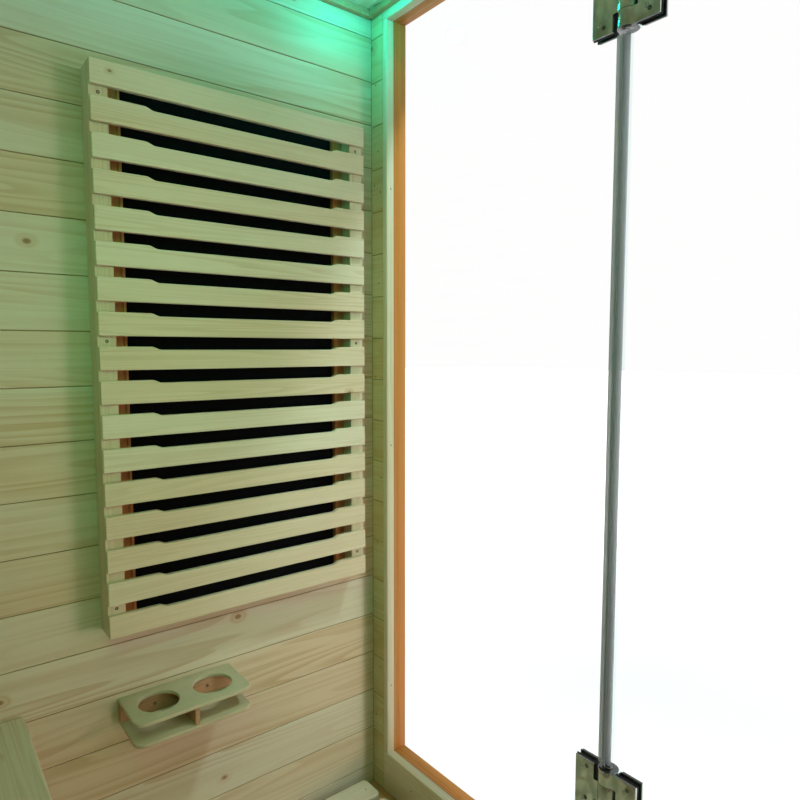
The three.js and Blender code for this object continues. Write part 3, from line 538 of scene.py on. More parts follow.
side_boards = ("Z", floor_z + FIRST_JOINT, BOARD_PITCH)
post_boards = ("Z", floor_z + FIRST_JOINT - FRONT_JOINT_DROP, BOARD_PITCH)
level_boards = ("Y", front_y, BOARD_PITCH)
stain_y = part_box("door_glass")[1].y + STAIN_ABOVE_GLASS
FINISH = {
    "side_lining": pine("Side lining", "Y", LINED, side_boards, knots=0.22, figure=0.6,
                        stained_below=stain_y),
    "back_lining": pine("Back lining", "X", LINED, side_boards, knots=0.22, figure=0.6),
    "ceiling": pine("Ceiling lining", "X", LINED, level_boards, knots=0.22),
    "post": pine("Front post", "X", SHADED, post_boards, knots=0.35, stained_below=stain_y, corner=inner_x),
    "slat_x": pine("Slats across", "X", PALE, knots=0.10, figure=0.5, wide=32.0, rings=15.0),
    "slat_y": pine("Slats along the side", "Y", PALE, knots=0.10, figure=0.5, wide=32.0, rings=15.0),
    "frame_x": pine("Sill and head", "X", PALE, knots=0.04, wide=22.0, stained_below=stain_y),
    "frame_z": pine("Jamb boards", "Z", PALE, knots=0.04, wide=22.0, stained_below=stain_y),
    "guard_post": pine("Guard posts", "Z", PALE, knots=0.03, wide=26.0),
    "guard_channel": pine("Guard channels", "Z", CHANNEL, knots=0.03, figure=0.6, wide=26.0),
    "trim": pine("Ceiling trim", "X", AMBER_SHADE, knots=0.03, figure=0.6, wide=26.0),
    "shell_x": pine("Outer boards, back", "X", HONEY, side_boards, knots=0.16, figure=0.6),
    "shell_y": pine("Outer boards, sides", "Y", HONEY, side_boards, knots=0.16, figure=0.6),
    "panel": pine("Floor and roof", "X", HONEY, level_boards, knots=0.16, figure=0.6),
    "turned": pine("Handles", "Z", PALE, knots=0.0, figure=0.4, wide=26.0),
    "cup": pine("Drink holder plates", "Y", PLY, knots=0.0, figure=0.25, wide=26.0),
    "cup_rail": pine("Drink holder spacer", "Y", AMBER_SHADE, knots=0.0, figure=0.4, wide=26.0),
    "glass": clear_glass("Clear glass", colour(0.84, 0.93, 0.90)),
    "bedded_glass": clear_glass("Glass ends in the frame", colour(0.98, 0.98, 0.96)),
    "seal": soft_seal(),
    "metal": polished_metal(),
    "steel": grained("Fastener steel", (0.10, 0.10, 0.10), 0.4, metallic=0.8),
    "rubber": grained("Gasket rubber", (0.016, 0.016, 0.017), 0.75),
    "heater": woven_heater(),
    "black": grained("Black housing", (0.022, 0.022, 0.025), 0.42, grain=1400.0),
    "grey": grained("Grey keys", (0.52, 0.53, 0.53), 0.45),
    "display": grained("Display window", (0.008, 0.012, 0.014), 0.08, depth=0.00001, spread=0.05, coat=1.0),
    "lens": lit_lens(),
}


# Mesh helpers

def middle_of(node):
    low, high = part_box(node)
    return (low + high) / 2


def new_object(name, data):
    made = bpy.data.objects.new(name, data)
    bpy.context.scene.collection.objects.link(made)
    return made


def object_from(shape, name):
    """An object with a finished shape as its smooth mesh."""
    mesh = bpy.data.meshes.new(name)
    shape.to_mesh(mesh)
    shape.free()
    mesh.shade_smooth()
    return new_object(name, mesh)


def merged_copy(node):
    """A CAD solid's triangles with their corners merged."""
    shape = bmesh.new()
    shape.from_mesh(NODES[node].data)
    bmesh.ops.remove_doubles(shape, verts=shape.verts, dist=MERGE)
    return shape


def plain(obj):
    """The object's modifiers turned into its own mesh."""
    graph = bpy.context.evaluated_depsgraph_get()
    mesh = bpy.data.meshes.new_from_object(
        obj.evaluated_get(graph), preserve_all_data_layers=True, depsgraph=graph,
    )
    obj.modifiers.clear()
    obj.data = mesh
    return obj


def eased(obj, kind, segments=3):
    """Rounds the sharp edges as its kind of piece asks, and keeps the flats flat."""
    bevel = obj.modifiers.new("Eased edges", "BEVEL")
    bevel.width = EASE[kind]
    bevel.segments = segments
    bevel.limit_method = "ANGLE"
    bevel.angle_limit = EASE_ANGLE
    bevel.harden_normals = True
    return plain(obj)


def settle(obj, finish, slot, *nodes, body="cabin"):
    """Gives a finished piece its material, the nodes that it stands for and its body; the slot is not used.
    """
    obj.data.materials.clear()
    obj.data.materials.append(FINISH[finish])
    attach(obj, body)
    if nodes:
        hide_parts(*nodes)
    return obj


def eased_node(node, kind, finish, slot, body="cabin", board=0.5, segments=3):
    """A copy of a solid with rounded edges, which stands for it."""
    shape = merged_copy(node)
    bmesh.ops.dissolve_limit(shape, angle_limit=FLAT_ANGLE, verts=shape.verts, edges=shape.edges)
    piece = eased(object_from(shape, f"{node}_eased"), kind, segments)
    attribute = piece.data.attributes.new("board", "FLOAT", "POINT")
    attribute.data.foreach_set("value", [board] * len(piece.data.vertices))
    return settle(piece, finish, slot, node, body=body)


def timbers(name, boxes, kind, draws=None):
    """Square timbers with rounded edges in one mesh, each with its own board value."""
    shape = bmesh.new()
    boards = shape.verts.layers.float.new("board")
    for index, (low, high) in enumerate(boxes):
        low, high = Vector(low), Vector(high)
        place = Matrix.Translation((low + high) / 2) @ Matrix.Diagonal((*(high - low), 1.0))
        draw = draws[index] if draws else (index * NEXT_DRAW + FIRST_DRAW) % 1.0
        for corner in bmesh.ops.create_cube(shape, size=1.0, matrix=place)["verts"]:
            corner[boards] = draw
    return eased(object_from(shape, name), kind)


def swept(name, outline, sweep, kind):
    """A flat outline drawn out into a slat with rounded edges."""
    shape = bmesh.new()
    face = shape.faces.new([shape.verts.new(corner) for corner in outline])
    grown = bmesh.ops.extrude_face_region(shape, geom=[face])["geom"]
    moved = [item for item in grown if isinstance(item, bmesh.types.BMVert)]
    bmesh.ops.translate(shape, verts=moved, vec=sweep)
    bmesh.ops.recalc_face_normals(shape, faces=shape.faces)
    return eased(object_from(shape, name), kind)


def lathe(name, profile, centre, sides):
    """A profile of (radius, height) turned about an upright axis through a point."""
    shape = bmesh.new()
    points = [shape.verts.new((radius, 0.0, height)) for radius, height in profile]
    edges = [shape.edges.new(pair) for pair in zip(points, points[1:])]
    bmesh.ops.spin(
        shape, geom=points + edges, cent=(0, 0, 0), axis=(0, 0, 1),
        angle=2 * math.pi, steps=sides, use_merge=True,
    )
    bmesh.ops.remove_doubles(shape, verts=shape.verts, dist=MERGE)
    bmesh.ops.recalc_face_normals(shape, faces=shape.faces)
    shape.transform(Matrix.Translation(centre))
    return object_from(shape, name)


def joined(first, other):
    """Two meshes in the first one's object."""
    shape = bmesh.new()
    for obj in (first, other):
        shape.from_mesh(obj.data)
    bpy.data.objects.remove(other)
    shape.to_mesh(first.data)
    shape.free()
    first.data.shade_smooth()
    return first


# Geometry node trees

def new_tree(name, result, **inputs):
    """A tree with named inputs and one result, and its node that gives the inputs."""
    tree = bpy.data.node_groups.new(name, "GeometryNodeTree")
    for label, kind in inputs.items():
        tree.interface.new_socket(label, in_out="INPUT", socket_type=f"NodeSocket{kind}")
    tree.interface.new_socket(result, in_out="OUTPUT", socket_type="NodeSocketGeometry")
    return tree, tree.nodes.new("NodeGroupInput").outputs


def finished_tree(tree, instances, finish):
    """Ends a tree: real geometry, its material, and the way out."""
    real = add(tree, "GeometryNodeRealizeInstances", {"Geometry": instances})
    dressed = add(tree, "GeometryNodeSetMaterial", {"Geometry": real.outputs[0], "Material": finish})
    out = tree.nodes.new("NodeGroupOutput")
    tree.links.new(dressed.outputs[0], out.inputs[0])
    return tree


def row_tree():
    """Copies of one timber along a line, each with a board value of its own."""
    tree, given = new_tree("Row of timbers", "Row", Timber="Geometry", Count="Int", Step="Vector",
                           Seed="Int", Finish="Material")
    line = add(tree, "GeometryNodeMeshLine", {"Count": given["Count"], "Offset": given["Step"]})
    copies = add(tree, "GeometryNodeInstanceOnPoints", {
        "Points": line.outputs[0], "Instance": given["Timber"],
    })
    draw = add(tree, "FunctionNodeRandomValue", {"Seed": given["Seed"]}, data_type="FLOAT")
    tagged = add(tree, "GeometryNodeStoreNamedAttribute", {
        "Geometry": copies.outputs[0], "Name": "board",
        "Value": next(out for out in draw.outputs if out.enabled),
    }, data_type="FLOAT", domain="INSTANCE")
    return finished_tree(tree, tagged.outputs[0], given["Finish"])


def heads_tree():
    """A fastener head on each point of the mesh."""
    tree, given = new_tree("Fastener heads", "Heads", Places="Geometry", Head="Object",
                           Finish="Material")
    head = add(tree, "GeometryNodeObjectInfo", {"Object": given["Head"], "As Instance": True})
    copies = add(tree, "GeometryNodeInstanceOnPoints", {
        "Points": given["Places"], "Instance": head.outputs["Geometry"],
    })
    return finished_tree(tree, copies.outputs[0], given["Finish"])


ROW = row_tree()
HEADS = heads_tree()


def grow(obj, tree, **values):
    """Runs a tree on an object and keeps the result as its mesh."""
    modifier = obj.modifiers.new(tree.name, "NODES")
    modifier.node_group = tree
    for item in tree.interface.items_tree:
        if item.in_out == "INPUT" and item.name in values:
            modifier[item.identifier] = values[item.name]
    return plain(obj)


def row(timber, count, step, finish, seed):
    return grow(timber, ROW, Count=count, Step=tuple(step), Finish=FINISH[finish], Seed=seed)


def heads(name, places, facing, radius, body="cabin", finish="steel"):
    """Round fastener heads with a drive recess, set on a surface that faces one way."""
    recess, crown = radius * HEAD_RECESS, HEAD_DEPTH * HEAD_CROWN
    profile = [
        (0.0, -HEAD_DEPTH), (recess * HEAD_TAPER, -HEAD_DEPTH), (recess, crown),
        (radius * HEAD_TAPER, crown), (radius, 0.0), (radius, -HEAD_DEPTH),
    ]
    template = lathe(f"{name}_head", profile, (0, 0, 0), HEAD_SIDES)
    template.data.transform(Vector(facing).to_track_quat("Z", "Y").to_matrix().to_4x4())
    points = bpy.data.meshes.new(name)
    points.from_pydata([tuple(place) for place in places], [], [])
    piece = grow(new_object(name, points), HEADS, Head=template, Finish=FINISH[finish])
    bpy.data.objects.remove(template)
    piece.data.shade_smooth()
    settle(piece, finish, "polished_metal", body=body)


# Slatted guards

class Wall:
    """A guard's own directions: u along the wall from its start, v out of the wall, z up."""

    def __init__(self, start, along, out):
        self.start, self.along, self.out = Vector(start), Vector(along), Vector(out)

    def at(self, u, v, z):
        return self.start + self.along * u + self.out * v + Vector((0, 0, z))

    def upright(self, first_u, second_u, depth, tall):
        """The box of a timber that stands against the wall."""
        corners = self.at(first_u, 0.0, 0.0), self.at(second_u, depth, tall)
        return Vector(map(min, *corners)), Vector(map(max, *corners))


def slatted_height(slats):
    return (slats - 1) * SLAT_PITCH + SLAT_HEIGHT


def relief_points(length, ends):
    """Top edge of a slat from its far end to its start, with an S-curve at both ends of its relief."""
    if not ends:
        return [(length, SLAT_HEIGHT), (0.0, SLAT_HEIGHT)]
    near, far = [], []
    for step in range(RELIEF_STEPS + 1):
        share = step / RELIEF_STEPS
        height = SLAT_HEIGHT - SLAT_RELIEF * share * share * (3 - 2 * share)
        near.append((ends[0] + RELIEF_RUN * share, height))
        far.append((length - ends[1] - RELIEF_RUN * share, height))
    return [(length, SLAT_HEIGHT), *far, *reversed(near), (0.0, SLAT_HEIGHT)]


def slat(name, wall, length, depth, z, ends=None):
    """One slat of a guard, with its relief where its ends are given."""
    outline = [(0.0, 0.0), (length, 0.0), *relief_points(length, ends)]
    corners = [wall.at(u, depth - SLAT_THICKNESS, z + height) for u, height in outline]
    return swept(name, corners, wall.out * SLAT_THICKNESS, "slat")


def stiles(node, wall, length, depth, tall, middle):
    """Posts at both ends, each with a wiring channel and a heater liner, and perhaps a middle post."""
    inner = STILE_POST + STILE_CHANNEL
    posts, channels = [], []
    for end, way in ((0.0, 1), (length, -1)):
        post, channel, liner = (end + way * reach for reach in (STILE_POST, inner, inner + STILE_LINER))
        posts.append(wall.upright(end, post, depth, tall))
        channels.append(wall.upright(post, channel, CHANNEL_FLOOR, tall))
        channels.append(wall.upright(channel, liner, LINER_DEPTH, tall))
    if middle:
        half = STILE_POST / 2
        posts.append(wall.upright(length / 2 - half, length / 2 + half, depth, tall))
    settle(timbers(f"{node}_posts", posts, "guard_post"), "guard_post", "pale_pine", node)
    settle(timbers(f"{node}_channels", channels, "guard_channel"), "guard_channel", "pine", node)


def guard(node, wall, finish, slats, ends, tall, seed, middle=False):
    """Slats on their stiles, which stand for one guard's solid."""
    low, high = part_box(node)
    length = abs((high - low).dot(wall.along))
    standoff = abs((high - low).dot(wall.out))
    first_z = (tall - slatted_height(slats)) / 2
    top_z = first_z + (slats - 1) * SLAT_PITCH
    lower = slat(f"{node}_slats", wall, length, standoff, first_z, ends)
    row(lower, slats - 1, (0, 0, SLAT_PITCH), finish, seed)
    top = slat(f"{node}_top", wall, length, standoff, top_z)
    row(top, 1, (0, 0, 0), finish, seed + 1)
    settle(joined(lower, top), finish, "pale_pine", node)
    post_depth = standoff - SLAT_THICKNESS
    stiles(node, wall, length, post_depth, tall, middle)
    gap_z = first_z - (SLAT_PITCH - SLAT_HEIGHT) / 2
    screw_z = [gap_z + SLAT_PITCH * gap for gap in (1, slats // 2 + 1, slats - 1)]
    post_u = (STILE_POST / 2, length - STILE_POST / 2)
    places = [wall.at(u, post_depth, z) for u in post_u for z in screw_z]
    heads(f"{node}_screws", places, wall.out, WOOD_SCREW_RADIUS)


def guards():
    """Guards on the side walls and the back wall, and the slatted front of the bench."""
    even, uneven = (SLAT_SHORT_END, SLAT_SHORT_END), (SLAT_SHORT_END, SLAT_LONG_END)
    tall = slatted_height(GUARD_SLATS)
    for index, (side, sign) in enumerate(SIDES.items()):
        node = f"{side}_heater_guard"
        low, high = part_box(node)
        wall = Wall((high.x if sign > 0 else low.x, low.y, low.z), (0, 1, 0), (-sign, 0, 0))
        guard(node, wall, "slat_y", GUARD_SLATS, uneven, tall, seed=3 + 7 * index)
        node = f"back_{side}_heater_guard"
        low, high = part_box(node)
        wall = Wall((low.x, high.y, low.z), (1, 0, 0), (0, -1, 0))
        guard(node, wall, "slat_x", GUARD_SLATS, even, tall, seed=20 + 9 * index)
    low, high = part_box("bench_front")
    wall = Wall((low.x, high.y, low.z), (1, 0, 0), (0, -1, 0))
    guard("bench_front", wall, "slat_x", BENCH_FRONT_SLATS, even, high.z - low.z, seed=51, middle=True)


# Bench and floor grating

def bench():
    """Seat slats across three battens, with a screw at each crossing."""
    low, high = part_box("bench_seat")
    width = (high.y - low.y - (BENCH_SLATS - 1) * BENCH_SLAT_GAP) / BENCH_SLATS
    under = high.z - BENCH_SLAT
    board = timbers("bench_seat_slats", [
        ((low.x, low.y, under), (high.x, low.y + width, high.z)),
    ], "seat_slat")
    row(board, BENCH_SLATS, (0, width + BENCH_SLAT_GAP, 0), "slat_x", seed=12)
    settle(board, "slat_x", "pale_pine", "bench_seat")
    half = BATTEN_WIDTH / 2
    centres = (low.x + half, 0.0, high.x - half)
    boxes = [((x - half, low.y + BENCH_OVERHANG, low.z), (x + half, high.y, under)) for x in centres]
    battens = timbers("bench_seat_battens", boxes, "seat_batten")
    settle(battens, "slat_y", "pale_pine", "bench_seat")
    places = [(x, low.y + width * (index + 0.5) + BENCH_SLAT_GAP * index, high.z)
              for x in centres for index in range(BENCH_SLATS)]
    heads("bench_seat_screws", places, (0, 0, 1), WOOD_SCREW_RADIUS)


def rounded_slat(name, low, high):
    """A flat slat of the grating, with rounded plan corners and eased edges."""
    outline = []
    corners = ((high.x, high.y), (low.x, high.y), (low.x, low.y), (high.x, low.y))
    for quarter, (x, y) in enumerate(corners):
        centre_x = x - GRATE_CORNER if x == high.x else x + GRATE_CORNER
        centre_y = y - GRATE_CORNER if y == high.y else y + GRATE_CORNER
        for step in range(GRATE_CORNER_STEPS + 1):
            angle = (quarter + step / GRATE_CORNER_STEPS) * math.pi / 2
            across, along = GRATE_CORNER * math.cos(angle), GRATE_CORNER * math.sin(angle)
            outline.append((centre_x + across, centre_y + along, low.z))
    return swept(name, outline, (0, 0, high.z - low.z), "grating_slat")


def grating():
    """Slats nailed across two battens on the floor."""
    low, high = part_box("floor_grating")
    under = high.z - GRATE_SLAT_THICKNESS
    slats = rounded_slat(
        "floor_grating_slats", Vector((low.x, low.y, under)), Vector((low.x + GRATE_SLAT, high.y, high.z)),
    )
    row(slats, GRATE_SLATS, (GRATE_PITCH, 0, 0), "slat_y", seed=5)
    settle(slats, "slat_y", "pale_pine", "floor_grating")
    rows = (low.y + GRATE_BATTEN_INSET, high.y - GRATE_BATTEN_INSET)
    half = BATTEN_WIDTH / 2
    boxes = [((low.x, y - half, low.z), (high.x, y + half, under)) for y in rows]
    battens = timbers("floor_grating_battens", boxes, "grating_batten")
    settle(battens, "slat_x", "pale_pine", "floor_grating")
    ends = (low.y + GRATE_NAIL_INSET, high.y - GRATE_NAIL_INSET)
    places = [(low.x + GRATE_SLAT / 2 + index * GRATE_PITCH, y, high.z)
              for index in range(GRATE_SLATS) for y in ends]
    heads("floor_grating_nails", places, (0, 0, 1), NAIL_RADIUS)


# Shell, front frame and glass

def dress(node, finish):
    """Gives a CAD solid that stays as it is a better finish."""
    NODES[node].data.materials.clear()
    NODES[node].data.materials.append(FINISH[finish])


def reveal_x(side):
    """Where the jamb board's face towards the glass stands."""
    low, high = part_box(f"{side}_jamb_board")
    return low.x if side == "right" else high.x


def trimmed_pane(side):
    """A fixed pane up to the faces of its frame, with its own finish on the ends in the frame."""
    node = f"{side}_fixed_glass"
    limit = abs(reveal_x(side))
    shape = merged_copy(node)
    for corner in shape.verts:
        corner.co.x = max(min(corner.co.x, limit), -limit)
        corner.co.z = max(min(corner.co.z, head_z), sill_z)
    pane = object_from(shape, f"{node}_pane")
    pane.data.shade_flat()
    settle(pane, "glass", "clear_glass", node)
    pane.data.materials.append(FINISH["bedded_glass"])
    for face in pane.data.polygons:
        against_jamb = face.normal.x * SIDES[side] > SQUARE_ON
        in_frame = against_jamb or abs(face.normal.z) > SQUARE_ON
        face.material_index = 1 if in_frame else 0


def bedding_strips(side):
    """Strips in the frame's grooves, at the side, the foot and the top of a fixed pane."""
    node = f"{side}_fixed_glass"
    low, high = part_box(node)
    edge_x = reveal_x(side)
    free_x = min(abs(low.x), abs(high.x))
    inner, outer = sorted((SIDES[side] * free_x, edge_x))
    near, far = sorted(edge_x + SIDES[side] * depth for depth in (BEDDING_CLEARANCE, BEDDING))
    upright = timbers(f"{node}_side_bedding", [
        ((near, low.y, sill_z), (far, high.y, head_z)),
    ], "bedding", [0.35])
    settle(upright, "frame_z", "pale_pine")
    level = timbers(f"{node}_end_bedding", [
        ((inner, low.y, sill_z - BEDDING), (outer, high.y, sill_z - BEDDING_CLEARANCE)),
        ((inner, low.y, head_z + BEDDING_CLEARANCE), (outer, high.y, head_z + BEDDING)),
    ], "bedding", [0.15, 0.62])
    settle(level, "frame_x", "pale_pine")


def shell():
    """Walls, ceiling, floor and roof, the front frame and its glass."""
    for side in SIDES:
        dress(f"{side}_wall_lining", "side_lining")
        dress(f"{side}_wall_panel", "shell_y")
        dress(f"front_{side}_post", "post")
        eased_node(f"{side}_jamb_board", "frame_board", "frame_z", "pale_pine", board=0.35)
        trimmed_pane(side)
        bedding_strips(side)
    dress("door_glass", "glass")
    dress("back_wall_lining", "back_lining")
    dress("back_wall_panel", "shell_x")
    dress("ceiling_lining", "ceiling")
    eased_node("front_sill", "frame_board", "frame_x", "pale_pine", board=0.15)
    eased_node("front_head", "frame_board", "frame_x", "pale_pine", board=0.62)
    eased_node("floor_panel", "floor", "panel", "knotty_pine")
    eased_node("roof_panel", "roof", "panel", "knotty_pine")
    eased_node("bench_ledger", "ledger", "slat_x", "pine", board=0.8)


def ceiling_trim():
    """Square trim strips round the ceiling, where it meets the walls."""
    low_z = ceiling_z - TRIM
    x = inner_x - TRIM_CLEARANCE
    near, far = front_y + TRIM_CLEARANCE, back_y - TRIM_CLEARANCE
    boxes = [
        ((x - TRIM, near, low_z), (x, far, ceiling_z)),
        ((-x, near, low_z), (-x + TRIM, far, ceiling_z)),
        ((-x + TRIM, near, low_z), (x - TRIM, near + TRIM, ceiling_z)),
        ((-x + TRIM, far - TRIM, low_z), (x - TRIM, far, ceiling_z)),
    ]
    settle(timbers("ceiling_trim", boxes, "trim"), "trim", "pine")


def frame_nails():
    """Nails in the front posts, the reveal and the sill, at uneven heights as they were driven."""
    nail_y = front_y - REVEAL_NAIL_DEPTH
    for side, sign in SIDES.items():
        places = [(sign * (inner_x - inset), front_y, floor_z + height) for height, inset in POST_NAILS]
        heads(f"{side}_post_nails", places, (0, 1, 0), NAIL_RADIUS)
        places = [(reveal_x(side), nail_y, floor_z + height) for height in REVEAL_NAIL_HEIGHTS]
        heads(f"{side}_reveal_nails", places, (-sign, 0, 0), NAIL_RADIUS)
    places = [(x, front_y, floor_z + SILL_NAIL_HEIGHT) for x in SILL_NAIL_PLACES]
    heads("sill_nails", places, (0, 1, 0), NAIL_RADIUS)


# Door, hinges and seals

def door():
    """Handles on both sides of the door, and the seals beside it."""
    eased_node("inside_handle", "handle", "turned", "pale_pine", body="door", board=0.3)
    eased_node("outside_handle", "handle", "turned", "pale_pine", body="door", board=0.7)
    eased_node("hinge_side_seal", "seal", "seal", "clear_seal", segments=2)
    eased_node("closing_side_seal", "seal", "seal", "clear_seal", body="door", segments=2)


def hinge(level):
    """Clamp plates with their screws, gaskets and the pin."""
    for part, body in (("fixed", "cabin"), ("door", "door")):
        leaf = f"{level}_hinge_{part}"
        centre = middle_of(f"{leaf}_outer_plate")
        for face, way in (("inner", 1), ("outer", -1)):
            node = f"{leaf}_{face}_plate"
            eased_node(node, "hinge_plate", "metal", "polished_metal", body=body)
            low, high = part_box(node)
            y = high.y if way > 0 else low.y
            places = [(centre.x, y, centre.z + rise) for rise in (-HINGE_SCREW_RISE, HINGE_SCREW_RISE)]
            heads(f"{leaf}_{face}_screws", places, (0, way, 0), HINGE_SCREW_RADIUS,
                  body=body, finish="metal")
        eased_node(f"{leaf}_gasket", "gasket", "rubber", "gasket_rubber", body=body, segments=2)
    eased_node(f"{level}_hinge_pin", "hinge_pin", "metal", "polished_metal")


# Heaters, drink holder, lamps and controls

def heaters():
    """Black heaters, those of the guards with their lower edge behind the lowest slat."""
    for guarded in ("right", "left", "back_right", "back_left"):
        node = f"{guarded}_heater_panel"
        panel = eased_node(node, "heater", "heater", "heater_black", segments=2)
        middle_z = middle_of(node).z
        for corner in panel.data.vertices:
            if corner.co.z < middle_z:
                corner.co.z -= HEATER_DROP
    eased_node("calf_heater_panel", "heater", "heater", "heater_black", segments=2)


def drink_holder():
    """Bored top plate, bottom plate and the spacer that is screwed to the wall."""
    eased_node("cup_holder_top", "cup_plate", "cup", "knotty_pine", board=0.25)
    eased_node("cup_holder_bottom", "cup_plate", "cup", "knotty_pine", board=0.45)
    eased_node("cup_holder_spacer", "cup_spacer", "cup_rail", "knotty_pine", board=0.4)
    centre = middle_of("cup_holder_spacer")
    rail_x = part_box("cup_holder_spacer")[1].x - CUP_RAIL
    places = [(rail_x, centre.y + shift, centre.z) for shift in CUP_SCREW_SHIFTS]
    heads("cup_holder_screws", places, (-1, 0, 0), WOOD_SCREW_RADIUS)


def lamps():
    """A domed lens in a metal ring for each ceiling lamp."""
    for side in SIDES:
        node = f"{side}_ceiling_lamp"
        low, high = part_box(node)
        centre = middle_of(node) * Vector((1, 1, 0))
        outer = (high.x - low.x) / 2
        shares = [step / LENS_STEPS for step in range(LENS_STEPS + 1)]
        dome = [(LENS_RADIUS * share, low.z + LENS_DOME * share ** 2) for share in shares]
        back_z = high.z - LENS_BACK
        lens = lathe(f"{side}_lamp_lens", [*dome, (LENS_RADIUS, back_z), (0.0, back_z)], centre, LAMP_SIDES)
        settle(lens, "lens", "lamp_lens", node)
        seat = LENS_RADIUS + RING_GAP
        ring = lathe(f"{side}_lamp_ring", [
            (seat, low.z + LENS_DOME), (LENS_RADIUS + RING_LIP, low.z + RING_LIP_RISE),
            (outer - RING_SLOPE, low.z + RING_SLOPE_RISE), (outer, low.z + RING_EDGE_RISE),
            (outer, high.z), (seat, high.z), (seat, low.z + LENS_DOME),
        ], centre, LAMP_SIDES)
        settle(ring, "metal", "polished_metal", node)


def controls():
    """Control panel with its display window and keys, roof vent and power box."""
    eased_node("control_panel", "control_panel", "black", "black_plastic")
    face_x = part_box("control_panel")[1].x
    centre = middle_of("control_panel")
    window_z = centre.z + WINDOW_RISE
    window = timbers("display_window", [(
        (face_x - WINDOW_BACK, centre.y - WINDOW_HALF_WIDTH, window_z - WINDOW_HALF_HEIGHT),
        (face_x - WINDOW_FACE, centre.y + WINDOW_HALF_WIDTH, window_z + WINDOW_HALF_HEIGHT),
    )], "window")
    settle(window, "display", "black_plastic")
    for key in ("minus", "power", "plus"):
        eased_node(f"{key}_button", "button", "grey", "grey_plastic", body=f"{key}_key")
    eased_node("vent_cover", "vent_cover", "slat_x", "pale_pine", body="vent_slide", board=0.55)
    eased_node("roof_power_box", "power_box", "black", "black_plastic")


# Studio

WHITE = (1.0, 1.0, 1.0)
GREEN = (0.0, 1.0, 0.9)
GLOW_DROP = 0.03
WASH_WIDTH = 0.04
WASH_INSET = 0.13
WASH_DROP = 0.02
FLOOR_DROP = 0.0005
FLAG_HALF_WIDTH = 1.2
FLAG_Y = -0.70
FLAG_HEIGHTS = (1.782, 2.0)


def aimed(obj, place, view):
    """Sets a lamp or the camera at a place, looking along a view."""
    obj.location = place
    obj.rotation_mode = "QUATERNION"
    obj.rotation_quaternion = Vector(view).to_track_quat("-Z", "Y")
    return obj


def light(name, kind, power, tint=WHITE):
    data = bpy.data.lights.new(name, kind)
    data.energy = power
    data.color = tint
    return new_object(name, data)


def area_light(name, place, target, size, power, tint=WHITE, spread=180):
    """A soft lamp that neither the camera nor a mirror gloss shows."""
    lamp = light(name, "AREA", power, tint)
    lamp.data.shape = "RECTANGLE"
    lamp.data.size, lamp.data.size_y = size
    lamp.data.spread = math.radians(spread)
    lamp.visible_camera = False
    lamp.visible_glossy = False
    return aimed(lamp, place, Vector(target) - Vector(place))


def lamp_glow(side):
    """Green light from a ceiling lamp."""
    node = f"{side}_ceiling_lamp"
    centre = middle_of(node)
    glow = light(f"{side}_glow", "POINT", power=0.8, tint=GREEN)
    glow.data.shadow_soft_size = 0.02
    glow.location = (centre.x, centre.y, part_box(node)[0].z - GLOW_DROP)
    glow.visible_camera = False


def ceiling_wash(name, place, target, length, along):
    """Soft green light along the top of a wall, as the lamps' light spreads over the ceiling."""
    wash = area_light(name, place, target, (WASH_WIDTH, length), power=0.47, tint=GREEN)
    back, along = Vector(place) - Vector(target), Vector(along)
    turn = Matrix((along.cross(back).normalized(), along, back.normalized()))
    wash.rotation_quaternion = turn.transposed().to_quaternion()


def green_light():
    """The ceiling lamps' light, and its spread along the side walls and the back wall."""
    wash_z = ceiling_z - WASH_DROP
    low_z = wash_z - WASH_INSET
    middle_y = (front_y + back_y) / 2
    for side, sign in SIDES.items():
        lamp_glow(side)
        wall_x = sign * inner_x
        place = (wall_x - sign * WASH_INSET, middle_y, wash_z)
        ceiling_wash(f"{side}_wash", place, (wall_x, middle_y, low_z), length=0.9, along=(0, 1, 0))
    place = (0, back_y - WASH_INSET, wash_z)
    ceiling_wash("back_wash", place, (0, back_y, low_z), length=1.5, along=(1, 0, 0))


def high_sun():
    """Even light from above and the right, level with the front, which gives the floor its shadow."""
    sun = light("high_sun", "SUN", power=1.5)
    sun.data.angle = math.radians(12)
    aimed(sun, place=(0, 0, 0), view=(-0.45, 0.0, -0.89))


def front_flag():
    """Board outside the front that keeps the white lamps off the top of the walls, and isn't seen."""
    low_z, high_z = FLAG_HEIGHTS
    outline = ((-1, low_z), (1, low_z), (1, high_z), (-1, high_z))
    shape = bmesh.new()
    shape.faces.new([shape.verts.new((side * FLAG_HALF_WIDTH, FLAG_Y, z)) for side, z in outline])
    flag = object_from(shape, "front_flag")
    flag.data.materials.append(FINISH["rubber"])
    flag.visible_camera = False
    flag.visible_glossy = False
    flag.visible_transmission = False
    flag.visible_diffuse = False


def seen_share(tree):
    """1 for rays that show the background: from the camera, a mirror gloss or glass."""
    path = add(tree, "ShaderNodeLightPath")
    seen = maths(tree, "MAXIMUM", path.outputs["Is Camera Ray"], path.outputs["Is Glossy Ray"])
    return maths(tree, "MAXIMUM", seen, path.outputs["Is Transmission Ray"])


def shown(tree, plain_shader, seen_shader, output):
    """Ends a tree with one shader for the light and another for what is seen."""
    mixed = add(tree, "ShaderNodeMixShader", {
        0: seen_share(tree), 1: plain_shader.outputs[0], 2: seen_shader.outputs[0],
    })
    tree.links.new(mixed.outputs[0], output.inputs["Surface"])


